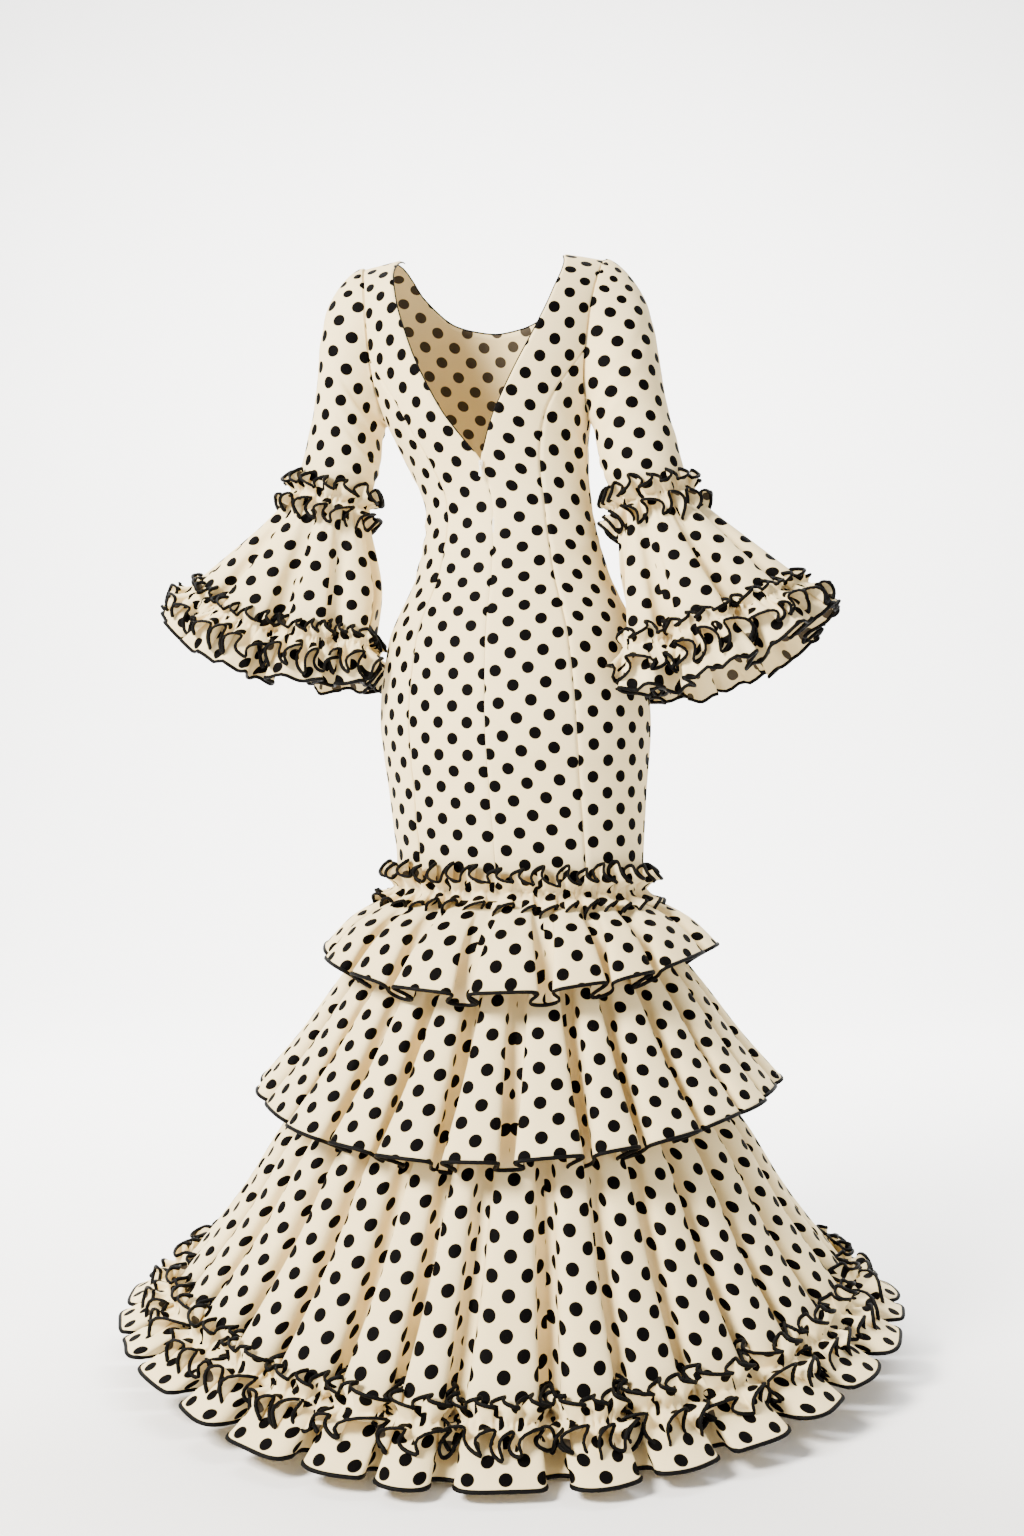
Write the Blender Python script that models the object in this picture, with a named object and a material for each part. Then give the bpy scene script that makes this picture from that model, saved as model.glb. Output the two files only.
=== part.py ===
"""Flamenco dress, worn pose, empty inside. Metres, +Z up, the dress faces -Y.

The origin is the middle of the shoulder line, where a wearer carries the dress. Heights in the
tables below are above the floor that the hem brushes. Every cloth piece is a wall round a grid of
points, and each grid comes from one function of two parameters: how far round, and how far down.
"""

import math
from functools import partial

import bmesh
import bpy
import numpy as np
from mathutils import Matrix, Vector

SHOULDER = 1.44  # height of the shoulder line above the floor
CLOTH = 0.002  # wall of every cloth piece
GAP = 0.0003  # clear space at a seam
FULL_TURN = 2 * math.pi
SIDES = (("left", 1), ("right", -1))  # the wearer's left is at +X

CLOSING = 1.335  # above this height back and front close towards the shoulder line
SHOULDER_DROP = 0.010  # from the neck point to the shoulder point
NECK_POINT = 0.106
SHOULDER_POINT = 0.163
ARMHOLE_FOOT = 1.225
ARMHOLE_DARTS = 1.300  # the princess seams run into the armhole here
NECK_FOOT = 1.157  # the point of the back neckline
PANEL_FOOT = 0.362

CREAM = (0.86, 0.80, 0.66, 1.0)
CREAM_SHADE = (0.80, 0.73, 0.59, 1.0)
CREAM_ZIP = (0.82, 0.78, 0.66, 1.0)


class Table:
    """Rows of sizes with named columns, read as smooth curves over the first column."""

    def __init__(self, names, *rows):
        self.names = names.split()
        self.rows = np.array(rows, float)

    def at(self, name, where):
        """Cubic curve through the column, with slopes that never overshoot its rows."""
        xs = self.rows[:, 0]
        ys = self.rows[:, self.names.index(name)]
        where = np.clip(np.asarray(where, float), xs[0], xs[-1])
        steps = np.diff(ys) / np.diff(xs)
        before, after = steps[:-1], steps[1:]
        same_way = before * after > 0
        middle = np.where(same_way, 2 * before * after / np.where(same_way, before + after, 1), 0)
        slopes = np.concatenate([steps[:1], middle, steps[-1:]])
        i = np.clip(np.searchsorted(xs, where, side="right") - 1, 0, len(xs) - 2)
        width = xs[i + 1] - xs[i]
        t = (where - xs[i]) / width
        return (
            ys[i] * (1 + 2 * t) * (1 - t) ** 2
            + ys[i + 1] * t**2 * (3 - 2 * t)
            + width * slopes[i] * t * (1 - t) ** 2
            - width * slopes[i + 1] * t**2 * (1 - t)
        )


BODY = Table(
    "height half_width back front centre_x",
    (0.36, 0.190, 0.150, 0.146, -0.043),
    (0.50, 0.172, 0.122, 0.118, -0.046),
    (0.62, 0.167, 0.113, 0.106, -0.049),
    (0.72, 0.174, 0.127, 0.108, -0.046),
    (0.82, 0.183, 0.140, 0.112, -0.043),
    (0.92, 0.171, 0.130, 0.110, -0.041),
    (1.02, 0.129, 0.094, 0.100, -0.039),
    (1.10, 0.113, 0.076, 0.094, -0.034),
    (1.155, 0.120, 0.085, 0.106, -0.021),
    (1.225, 0.140, 0.102, 0.132, -0.005),
    (1.30, 0.164, 0.108, 0.122, 0.0),
    (1.37, 0.177, 0.108, 0.104, 0.0),
    (1.44, 0.180, 0.100, 0.092, 0.0),
)
PRINCESS_SEAM = Table(
    "height angle",
    (0.36, 0.80),
    (0.62, 0.74),
    (0.82, 0.66),
    (1.10, 0.63),
    (1.225, 0.80),
    (1.30, 1.08),
)
BACK_NECK = Table(
    "height half_width",
    (1.157, 0.0006),
    (1.24, 0.047),
    (1.33, 0.089),
    (1.37, 0.103),
    (1.42, 0.113),
    (1.44, 0.108),
)
FRONT_NECK = Table(
    "share top",
    (0.0, 1.352),
    (0.30, 1.360),
    (0.52, 1.385),
    (0.66, 1.440),
    (1.0, 1.440),
)
ARMHOLE = Table(
    "height half_width",
    (1.225, 0.140),
    (1.25, 0.1415),
    (1.30, 0.1460),
    (1.36, 0.1510),
    (1.40, 0.1560),
    (1.44, 0.1630),
)
SLEEVE = Table(
    "along inner_x inner_height outer_x outer_height half_depth centre_y sway",
    (0.00, 0.1446, 1.225, 0.169, 1.432, 0.054, 0.000, 0.000),
    (0.06, 0.1463, 1.221, 0.181, 1.436, 0.057, 0.000, 0.000),
    (0.12, 0.1478, 1.217, 0.195, 1.424, 0.058, 0.001, -0.001),
    (0.30, 0.1500, 1.203, 0.218, 1.368, 0.057, 0.002, -0.003),
    (0.45, 0.1510, 1.188, 0.228, 1.315, 0.055, 0.004, -0.005),
    (0.60, 0.1530, 1.170, 0.237, 1.255, 0.052, 0.006, -0.007),
    (0.80, 0.1620, 1.142, 0.254, 1.185, 0.051, 0.009, -0.009),
    (1.00, 0.1725, 1.106, 0.270, 1.128, 0.050, 0.012, -0.010),
)
ARM_SWING = 0.015  # the left elbow is this far behind the shoulders' line, the right one before it
ARM_REACH = {1: 0.0, -1: 0.016}  # the right arm hangs lower
SET_IN_CLEARANCE = 0.0016  # the sleeve head stands this far outside the armhole
SLEEVE_SET_IN = 0.30  # share of the sleeve over which the armhole's shape fades out

BELL_AXIS_TILT = math.radians(20)
BELL_HEM = {"outer": 0.174, "inner": 0.195, "depth": 0.130, "behind": 0.004}
BELL_DROP = {"mean": 0.226, "sides": -0.020, "inner": -0.010, "back": -0.010}
BELL_FLUTES = (1.15, 0.85, 1.1, 0.9, 1.2, 0.85, 1.0, 1.05, 0.9)
BELL_FLUTE_DEPTH = 0.022
BODY_CLEARANCE = 0.030  # from the body to the mid line of a bell that presses on it
BODY_SOFTNESS = 0.11

LAYER_STEP = 0.0050  # between the mid lines of two cloth walls, one on the other

TIERS = {
    # seam and side hem heights, the hem's dips at back and front, hem radii, depth and widths of flutes
    "upper": {
        "seam": 0.588,
        "hem": 0.517,
        "dip": (0.040, 0.0),
        "side": 0.263,
        "back": 0.252,
        "front": 0.242,
        "depth": 0.020,
        "flutes": (1.2, 0.9, 1.1, 1.0, 0.8, 1.3, 0.9, 1.0, 1.1) * 2,
    },
    "middle": {
        "seam": 0.548,
        "hem": 0.337,
        "dip": (0.042, 0.0),
        "side": 0.346,
        "back": 0.342,
        "front": 0.330,
        "depth": 0.026,
        "flutes": (1.1, 0.9, 1.0, 1.2, 0.8, 1.0, 1.15, 0.9, 1.0, 1.05, 0.85, 1.2, 0.95) * 2,
    },
    "lower": {
        "seam": 0.395,
        "hem": 0.092,
        "dip": (0.040, 0.040),
        "side": 0.447,
        "back": 0.486,
        "front": 0.440,
        "depth": 0.032,
        "flutes": (1.0, 1.15, 0.85, 1.1, 0.9, 1.05, 1.2, 0.8) * 4,
    },
}
TIER_PROFILE = {
    # share of the way down, share of the way out
    "upper": Table("down out", (0.0, 0.0), (0.2, 0.30), (0.45, 0.60), (1.0, 1.0)),
    "middle": Table("down out", (0.0, 0.0), (0.1, 0.15), (0.34, 0.385), (0.7, 0.70), (1.0, 1.0)),
    "lower": Table("down out", (0.0, 0.0), (0.12, 0.21), (0.32, 0.43), (0.64, 0.67), (1.0, 1.0)),
}
TRAIN_TURN = 0.28  # the lowest hem trails this far towards the wearer's right
HEM_FLOUNCE = {
    "side": {"height": 0.052, "flare": 0.070},
    "back": {"height": 0.003, "flare": 0.070},
    "front": {"height": 0.004, "flare": 0.050},
    "depth": 0.026,
}
FRILLS = {
    # how far the edges stand along the host, how far they lean out, and their ripple
    "knee": {"rise": 0.027, "drop": 0.021, "out_up": 0.022, "out_down": 0.032, "ripple": 0.005},
    "elbow": {"rise": 0.021, "drop": 0.021, "out_up": 0.014, "out_down": 0.022, "ripple": 0.004},
    "cuff": {"rise": 0.014, "drop": 0.034, "out_up": 0.004, "out_down": 0.0125, "ripple": 0.002, "off": 0.0115},
    "hem": {"rise": 0.022, "drop": 0.026, "out_up": 0.010, "out_down": 0.018, "ripple": 0.004},
}
KNEE_LINE = 0.599  # height of the knee frill's gathering line
ELBOW_LINE = 0.985  # share of the sleeve above the elbow frill's gathering line
CUFF_LINE = 0.79  # share of the bell above the cuff frill's gathering line
HEM_LINE = 0.985  # share of the lower tier above the hem frill's gathering line
KNEE_WAVES, ELBOW_WAVES = 34, 13

SHOULDER_TWIST = math.radians(8)  # the shoulders turn this far from the hips
TWIST_FROM = 1.15

ZIP_FOOT = 0.90
ZIP_TOP = 1.150
ZIP_TAPE = {"width": 0.018, "thickness": 0.001}
SLIDER = {"height": 1.1505, "width": 0.0056, "length": 0.0085, "depth": 0.0018}
BRIDGE = {"radius": 0.0016, "wire": 0.0004, "off": 0.0026}  # half ring that holds the pull tab
TAB = {"thickness": 0.0010, "eye_half_width": 0.0009, "eye_half_height": 0.0010, "eye_below": 0.0017}
TAB_OUTLINE = Table(
    "below half_width",
    (-0.0008, 0.0),
    (-0.0007, 0.0010),
    (0.0, 0.0017),
    (0.0017, 0.0018),
    (0.0034, 0.0014),
    (0.005, 0.0012),
    (0.008, 0.0016),
    (0.0115, 0.0022),
    (0.014, 0.0021),
    (0.016, 0.0013),
    (0.0168, 0.0),
)


def turned(angle):
    """Back and front shares of a depth at an angle from the centre back."""
    return np.cos(angle) > 0


def twisted(points):
    """Points turned about the upright axis, from nothing at the waist to the shoulders' twist."""
    rise = np.clip((points[..., 2] + SHOULDER - TWIST_FROM) / (SHOULDER - TWIST_FROM), 0, 1)
    turn = SHOULDER_TWIST * rise * rise * (3 - 2 * rise)
    x = points[..., 0] * np.cos(turn) - points[..., 1] * np.sin(turn)
    y = points[..., 0] * np.sin(turn) + points[..., 1] * np.cos(turn)
    return np.stack([x, y, points[..., 2]], axis=-1)


def torso(angle, level):
    """Point of the fitted body at an angle from the centre back and a level, shoulders turned."""
    return twisted(straight_torso(angle, level))


def straight_torso(angle, level):
    """Point of the fitted body before the shoulders turn.

    A ring has its own half width and its own depths to the back and to the front. Above CLOSING
    the level runs up a quarter of an ellipse, so the two depths shrink to nothing on the shoulder
    line.
    """
    angle, level = np.broadcast_arrays(np.asarray(angle, float), np.asarray(level, float))
    rise = np.clip((level - CLOSING) / (SHOULDER - CLOSING), 0, 1) * math.pi / 2
    height = np.where(level > CLOSING, CLOSING + (SHOULDER - CLOSING) * np.sin(rise), level)
    width = BODY.at("half_width", height)
    depth = np.where(turned(angle), BODY.at("back", height), BODY.at("front", height))
    x = width * np.sin(angle)
    past_neck = np.clip((np.abs(x) - NECK_POINT) / (SHOULDER_POINT - NECK_POINT), 0, 1)
    top = SHOULDER - SHOULDER_DROP * past_neck
    height = np.where(level > CLOSING, CLOSING + (top - CLOSING) * np.sin(rise), height)
    y = depth * np.cos(angle) * np.cos(rise)
    return np.stack([BODY.at("centre_x", height) + x, y, height - SHOULDER], axis=-1)


def edge_angle(table, level):
    """Angle from the centre back at which the body reaches the half width that a table states."""
    rise = np.clip((level - CLOSING) / (SHOULDER - CLOSING), 0, 1) * math.pi / 2
    height = np.where(level > CLOSING, CLOSING + (SHOULDER - CLOSING) * np.sin(rise), level)
    return np.arcsin(np.clip(table.at("half_width", height) / BODY.at("half_width", height), 0, 1))


def outer_angle(level):
    """Angle of the centre panels' outer edge: the princess seam, then the armhole above it."""
    seam = PRINCESS_SEAM.at("angle", level)
    return np.where(level > ARMHOLE_DARTS + 1e-6, edge_angle(ARMHOLE, level), seam)


def side_angle(level):
    """Angle of the side panels' outer edge: the side seam, then the lower part of the armhole."""
    armhole = edge_angle(ARMHOLE, np.maximum(level, ARMHOLE_FOOT))
    return np.where(level > ARMHOLE_FOOT + 1e-6, armhole, math.pi / 2)


def clear_of_body(points):
    """Points moved out from the body's centre line where they would press into it.

    The distance from the centre line, as a share of the body's ring, becomes a soft maximum of
    itself and one ring with clearance, so points keep their order.
    """
    height = points[..., 2] + SHOULDER
    out = points[..., :2].copy()
    out[..., 0] -= BODY.at("centre_x", height)
    width = BODY.at("half_width", height)
    depth = np.where(out[..., 1] > 0, BODY.at("back", height), BODY.at("front", height))
    share = np.hypot(out[..., 0] / width, out[..., 1] / depth)
    least = 1 + BODY_CLEARANCE / width
    pressed = least + BODY_SOFTNESS * np.logaddexp(0, (share - least) / BODY_SOFTNESS)
    moved = points.copy()
    moved[..., :2] += out * (pressed / share - 1)[..., None]
    return moved


def sleeve_ring(angle, along):
    """Point of the left sleeve's own rings: angle 0 is the underarm line, pi the outer line.

    A ring runs through an inner and an outer point in the XZ plane with a half depth in Y.
    """
    inner_share = (1 + np.cos(angle)) / 2
    x = SLEEVE.at("inner_x", along) * inner_share + SLEEVE.at("outer_x", along) * (1 - inner_share)
    height = SLEEVE.at("inner_height", along) * inner_share
    height = height + SLEEVE.at("outer_height", along) * (1 - inner_share)
    y = SLEEVE.at("centre_y", along) + SLEEVE.at("half_depth", along) * np.sin(angle)
    return np.stack([x, y, height - SHOULDER], axis=-1)


def placed(points, side, along):
    """Points of the left arm put on their side, 1 left or -1 right, and swayed with the arm."""
    points = points * np.array([side, 1.0, 1.0])
    points[..., 0] += SLEEVE.at("sway", along)
    points[..., 1] += side * ARM_SWING * along
    points[..., 2] -= ARM_REACH[side] * along
    return points


def sleeve(angle, along, side):
    """Point of a sleeve, which near its top fades into the armhole's own curve."""
    angle, along = np.broadcast_arrays(np.asarray(angle, float), np.asarray(along, float))
    ring = placed(sleeve_ring(angle, along), side, along)
    level = ARMHOLE_FOOT + (SHOULDER - ARMHOLE_FOOT) * (1 - np.cos(angle)) / 2
    hole_angle = edge_angle(ARMHOLE, level)
    hole = straight_torso(side * np.where(np.sin(angle) >= 0, hole_angle, math.pi - hole_angle), level)
    hole[..., 0] += side * SET_IN_CLEARANCE
    t = np.clip(along / SLEEVE_SET_IN, 0, 1)
    blend = (t * t * (3 - 2 * t))[..., None]
    return twisted(hole * (1 - blend) + ring * blend)


def elbow_frame():
    """Middle of the sleeve's lower ring, and the unit vectors across it, backwards and down it."""
    end = SLEEVE.rows[-1]
    middle = np.array([(end[1] + end[3]) / 2, end[6], (end[2] + end[4]) / 2 - SHOULDER])
    inward = np.array([-math.cos(BELL_AXIS_TILT), 0, -math.sin(BELL_AXIS_TILT)])
    down = np.array([math.sin(BELL_AXIS_TILT), 0, -math.cos(BELL_AXIS_TILT)])
    return middle, inward, np.array([0.0, 1.0, 0.0]), down


def fluted(share, flutes):
    """Phase of the flute that each share of a round trip lies in: 0 in a valley, pi on a crest."""
    edges = np.concatenate([[0], np.cumsum(flutes)]) / sum(flutes)
    share = np.mod(share, 1)
    i = np.clip(np.searchsorted(edges, share, side="right") - 1, 0, len(flutes) - 1)
    return FULL_TURN * (share - edges[i]) / (edges[i + 1] - edges[i])


def flute_columns(flutes):
    """Shares of a round trip with three points to a flute: its valley and both sides of its crest."""
    edges = np.concatenate([[0], np.cumsum(flutes)]) / sum(flutes)
    widths = np.diff(edges)
    return (edges[:-1, None] + widths[:, None] * np.array([0, 0.30, 0.70])).reshape(-1)


def valley(phase):
    """1 in a flute's valley, 0 over its broad crest."""
    return np.clip((np.cos(phase) + 0.3) / 1.3, 0, 1)


def bell(angle, along, side):
    """Point of a bell: straight lines from the elbow ring to a hem of its own width and drop.

    The hem is wide to the sides and narrow in depth, all its lines are about as long, and flutes
    deepen towards it.
    """
    angle, along = np.broadcast_arrays(np.asarray(angle, float), np.asarray(along, float))
    middle, inward, backward, down = elbow_frame()
    cos, sin = np.cos(angle)[..., None], np.sin(angle)[..., None]
    top = sleeve_ring(angle, 1.0) + 4 * GAP * down
    reach = np.where(cos > 0, BELL_HEM["inner"], BELL_HEM["outer"])
    drop = BELL_DROP["mean"] + BELL_DROP["sides"] * np.cos(2 * angle)[..., None]
    drop = drop + BELL_DROP["inner"] * cos + BELL_DROP["back"] * sin
    back = BELL_HEM["depth"] * sin + BELL_HEM["behind"]
    hem = middle + drop * down + reach * cos * inward + back * backward
    phase = fluted(angle / FULL_TURN, BELL_FLUTES)
    fold = BELL_FLUTE_DEPTH * along**1.2 * valley(phase)
    outward = cos * inward + sin * backward
    spread = along[..., None]
    line = top + (hem - top) * spread - outward * fold[..., None]
    return clear_of_body(placed(line, side, 1.0))


def tier(name, angle, along):
    """Point of a skirt tier at an angle from the centre back.

    The seam ring is the body's ring moved out by one layer, the hem ring has its own radii and
    dips at the back, and the profile table says how fast the cloth leaves the body. Flutes are cut
    inwards from the crest line and deepen with the way out.
    """
    angle, along = np.broadcast_arrays(np.asarray(angle, float), np.asarray(along, float))
    sizes = TIERS[name]
    trail = np.cos(angle + TRAIN_TURN * (name == "lower"))
    hem_height = sizes["hem"] - np.where(trail > 0, *sizes["dip"]) * np.abs(trail) ** 1.5
    height = sizes["seam"] + (hem_height - sizes["seam"]) * along
    way = TIER_PROFILE[name].at("out", along)
    seam_side = BODY.at("half_width", sizes["seam"]) + LAYER_STEP
    backward = turned(angle)
    seam_depth = np.where(backward, BODY.at("back", sizes["seam"]), BODY.at("front", sizes["seam"]))
    hem_depth = np.where(backward, sizes["back"], sizes["front"])
    side = seam_side + (sizes["side"] - seam_side) * way
    depth = seam_depth + LAYER_STEP + (hem_depth - seam_depth - LAYER_STEP) * way
    fold = sizes["depth"] * way * valley(fluted(angle / FULL_TURN, sizes["flutes"]))
    x = BODY.at("centre_x", sizes["seam"]) + (side - fold) * np.sin(angle)
    y = (depth - fold) * np.cos(angle)
    return np.stack([x, y, height - SHOULDER], axis=-1)


def hem_flounce(angle, along):
    """Point of the gathered strip below the lower tier: it goes on outwards and down to the floor."""
    angle, along = np.broadcast_arrays(np.asarray(angle, float), np.asarray(along, float))
    start = tier("lower", angle, 1.0)
    start_height = start[..., 2] + SHOULDER - 4 * GAP
    side_share = np.sin(angle + TRAIN_TURN) ** 2
    sizes = {}
    for size in ("height", "flare"):
        end = np.where(turned(angle + TRAIN_TURN), HEM_FLOUNCE["back"][size], HEM_FLOUNCE["front"][size])
        sizes[size] = end + (HEM_FLOUNCE["side"][size] - end) * side_share
    deep = valley(fluted(angle / FULL_TURN, TIERS["lower"]["flutes"]))
    out = along * (sizes["flare"] + (TIERS["lower"]["depth"] - HEM_FLOUNCE["depth"]) * deep)
    x = start[..., 0] + out * np.sin(angle)
    y = start[..., 1] + out * np.cos(angle)
    height = start_height + (sizes["height"] - start_height) * along
    return np.stack([x, y, height - SHOULDER], axis=-1)


def normals_of(surface, first, second):
    """Unit normals of a surface by small steps along both of its parameters."""
    step = 1e-4
    across = surface(first + step, second) - surface(first - step, second)
    down = surface(first, second + step) - surface(first, second - step)
    normal = np.cross(across, down)
    return normal / np.linalg.norm(normal, axis=-1, keepdims=True)


def material(name, colour, roughness):
    made = bpy.data.materials.get(name)
    if made is None:
        made = bpy.data.materials.new(name)
        made.use_nodes = True
        shader = made.node_tree.nodes["Principled BSDF"]
        shader.inputs["Base Color"].default_value = colour
        shader.inputs["Roughness"].default_value = roughness
        shader.inputs["Metallic"].default_value = 0.0
    return made


def wall(name, points, normals, closed, finish, thickness=CLOTH):
    """One closed wall: the grid moved out and in by half its thickness, joined round its edges."""
    rows, columns = points.shape[:2]
    outer = points + normals * thickness / 2
    inner = points - normals * thickness / 2
    corners = np.concatenate([outer.reshape(-1, 3), inner.reshape(-1, 3)])
    middle = points.reshape(-1, 3)
    other = rows * columns
    turns = columns if closed else columns - 1
    faces = []
    for row in range(rows - 1):
        for column in range(turns):
            after = (column + 1) % columns
            a, b = row * columns + column, row * columns + after
            c, d = b + columns, a + columns
            # both faces of the wall are split along the same, shorter diagonal, so its thickness holds
            halves = [(a, b, c), (a, c, d)]
            if np.linalg.norm(middle[b] - middle[d]) < np.linalg.norm(middle[a] - middle[c]):
                halves = [(a, b, d), (b, c, d)]
            faces += halves + [tuple(i + other for i in half[::-1]) for half in halves]
    for column in range(turns):
        after = (column + 1) % columns
        faces.append((after, column, column + other, after + other))
        low = (rows - 1) * columns
        faces.append((low + column, low + after, low + after + other, low + column + other))
    if not closed:
        for row in range(rows - 1):
            a, d = row * columns, (row + 1) * columns
            faces.append((a, d, d + other, a + other))
            b, c = a + columns - 1, d + columns - 1
            faces.append((c, b, b + other, c + other))
    mesh = bpy.data.meshes.new(name)
    mesh.from_pydata(corners.tolist(), [], faces)
    return finished(name, mesh, finish)


def finished(name, mesh, finish):
    """Object of a mesh with its faces pointing out, its finish and smooth shading."""
    shape = bmesh.new()
    shape.from_mesh(mesh)
    bmesh.ops.recalc_face_normals(shape, faces=shape.faces)
    if shape.calc_volume(signed=True) < 0:
        bmesh.ops.reverse_faces(shape, faces=shape.faces)
    shape.to_mesh(mesh)
    shape.free()
    mesh.shade_smooth()
    mesh.set_sharp_from_angle(angle=math.radians(50))
    mesh.materials.append(finish)
    made = bpy.data.objects.new(name, mesh)
    bpy.context.scene.collection.objects.link(made)
    return made


LEVELS = np.array(
    [PANEL_FOOT, 0.50, 0.62, 0.72, 0.82, 0.92, 1.02, 1.10, NECK_FOOT, ARMHOLE_FOOT, ARMHOLE_DARTS]
    + [CLOSING, 1.37, 1.405, SHOULDER]
)
SIDE_LEVELS = LEVELS[LEVELS <= ARMHOLE_DARTS + 1e-6]


def body_panel(name, inner, outer, levels, columns, front, sign, finish):
    """Panel of the fitted body between two edge angles, clear of its neighbours by half a gap."""
    level = levels[:, None]
    low, high = inner(levels)[:, None], outer(levels)[:, None]
    slack = GAP / 2 / BODY.at("half_width", level)
    low, high = low + slack, high - slack
    angle = low + (high - low) * np.linspace(0, 1, columns + 1)[None, :]
    depth = np.where(level >= SHOULDER - 1e-6, GAP / 2, 0.0)
    angle = math.pi - angle if front else angle
    angle = sign * angle
    points = torso(angle, level)
    points[..., 1] += depth * np.where(np.cos(angle) > 0, 1, -1)
    return wall(name, points, body_normals(angle, level), False, finish)


def body_normals(angle, level):
    """Normals of the body, taken a little below the shoulder line where back and front meet."""
    return normals_of(torso, angle, np.minimum(level, SHOULDER - 2e-3))


def back_outward(angle, level):
    """Normals of the body's back that point away from the wearer."""
    normals = body_normals(angle, level)
    return normals * np.sign(normals[..., 1:2])


def back_neck_angle(level):
    return np.where(level > NECK_FOOT, edge_angle(BACK_NECK, np.maximum(level, NECK_FOOT)), 0.0)


def front_centre(finish):
    """Front panel between the princess seams, hollowed at the neck.

    Each column of the grid ends on the neckline or the shoulder line, whichever it reaches.
    """
    shares = np.array([-1, -0.66, -0.48, -0.24, 0, 0.24, 0.48, 0.66, 1.0])[None, :]
    rows = ((LEVELS - PANEL_FOOT) / (SHOULDER - PANEL_FOOT))[:, None]
    level = PANEL_FOOT + rows * (FRONT_NECK.at("top", np.abs(shares)) - PANEL_FOOT)
    slack = GAP / 2 / BODY.at("half_width", level)
    angle = math.pi + shares * (outer_angle(level) - slack)
    points = torso(angle, level)
    points[..., 1] -= np.where(level >= SHOULDER - 1e-6, GAP / 2, 0.0)
    return wall("front_centre", points, body_normals(angle, level), False, finish)


def body_panels(finish):
    for name, side in SIDES:
        body_panel("back_centre_" + name, back_neck_angle, outer_angle, LEVELS, 3, False, side, finish)
        body_panel("back_side_" + name, outer_angle, side_angle, SIDE_LEVELS, 3, False, side, finish)
        body_panel("front_side_" + name, outer_angle, side_angle, SIDE_LEVELS, 3, True, side, finish)
    front_centre(finish)


def sleeves(finish):
    """Both sleeves, with a point on the armhole ring for each level of the body panels."""
    levels = LEVELS[LEVELS >= ARMHOLE_FOOT - 1e-6]
    rising = np.arccos(1 - 2 * (levels - ARMHOLE_FOOT) / (SHOULDER - ARMHOLE_FOOT))
    angle = np.concatenate([rising, FULL_TURN - rising[-2:0:-1]])[None, :]
    along = np.array([0.0, 0.10, 0.28, 0.52, 0.76, 1.0])[:, None]
    for name, side in SIDES:
        surface = partial(sleeve, side=side)
        normals = normals_of(surface, angle, np.clip(along, 1e-3, 1 - 1e-3))
        wall("sleeve_" + name, surface(angle, along), normals, True, finish)


def bells(finish):
    """Both bells, three points to a flute."""
    angle = FULL_TURN * flute_columns(BELL_FLUTES)[None, :]
    along = np.array([0.0, 0.4, 0.68, CUFF_LINE, 0.9, 1.0])[:, None]
    for name, side in SIDES:
        surface = partial(bell, side=side)
        normals = normals_of(surface, angle, np.clip(along, 1e-3, 1 - 1e-3))
        wall("bell_" + name, surface(angle, along), normals, True, finish)


def double_frill(name, host, columns, line, sizes, side, finish):
    """Gathered strip stitched down its middle: both edges lean out from the host in waves.

    Its middle row lies on the host, one layer out. Its edge rows stand up and down the host, lean
    out from it, and swing in and out by a ripple from one column to the next. `side` is -1 on a
    host that is mirrored.
    """
    angle = columns[None, :]
    base = host(angle, line)
    normal = side * normals_of(host, angle, line)
    up = host(angle, line - 1e-3) - host(angle, line + 1e-3)
    up = up / np.linalg.norm(up, axis=-1, keepdims=True)
    swing = sizes["ripple"] * np.where(np.arange(len(columns)) % 2 == 0, 1.0, -1.0)[None, :, None]
    middle = base + normal * sizes.get("off", LAYER_STEP)
    upper = middle + up * sizes["rise"] + normal * (sizes["out_up"] + swing)
    lower = middle - up * sizes["drop"] + normal * (sizes["out_down"] + swing)
    lean_up = normal * sizes["rise"] - up * sizes["out_up"]
    lean_down = normal * sizes["drop"] + up * sizes["out_down"]
    points = np.concatenate([upper, middle, lower])
    facing = np.concatenate([lean_up, normal, lean_down])
    facing = facing / np.linalg.norm(facing, axis=-1, keepdims=True)
    wall(name, points, facing, True, finish)


def ring_columns(waves):
    return FULL_TURN * np.arange(2 * waves) / (2 * waves)


def knee_host(angle, down):
    return torso(angle, KNEE_LINE - down)


def frills(finish):
    """The double frills at the knee, the elbows, the cuffs and the hem."""
    double_frill("knee_frill", knee_host, ring_columns(KNEE_WAVES), 0.0, FRILLS["knee"], 1, finish)
    elbow_columns, cuff_columns = ring_columns(ELBOW_WAVES), FULL_TURN * flute_columns(BELL_FLUTES)
    for name, side in SIDES:
        arm, cuff = partial(sleeve, side=side), partial(bell, side=side)
        double_frill("elbow_frill_" + name, arm, elbow_columns, ELBOW_LINE, FRILLS["elbow"], side, finish)
        double_frill("cuff_frill_" + name, cuff, cuff_columns, CUFF_LINE, FRILLS["cuff"], side, finish)
    columns = FULL_TURN * flute_columns(TIERS["lower"]["flutes"])
    double_frill("hem_frill", partial(tier, "lower"), columns, HEM_LINE, FRILLS["hem"], 1, finish)


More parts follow.
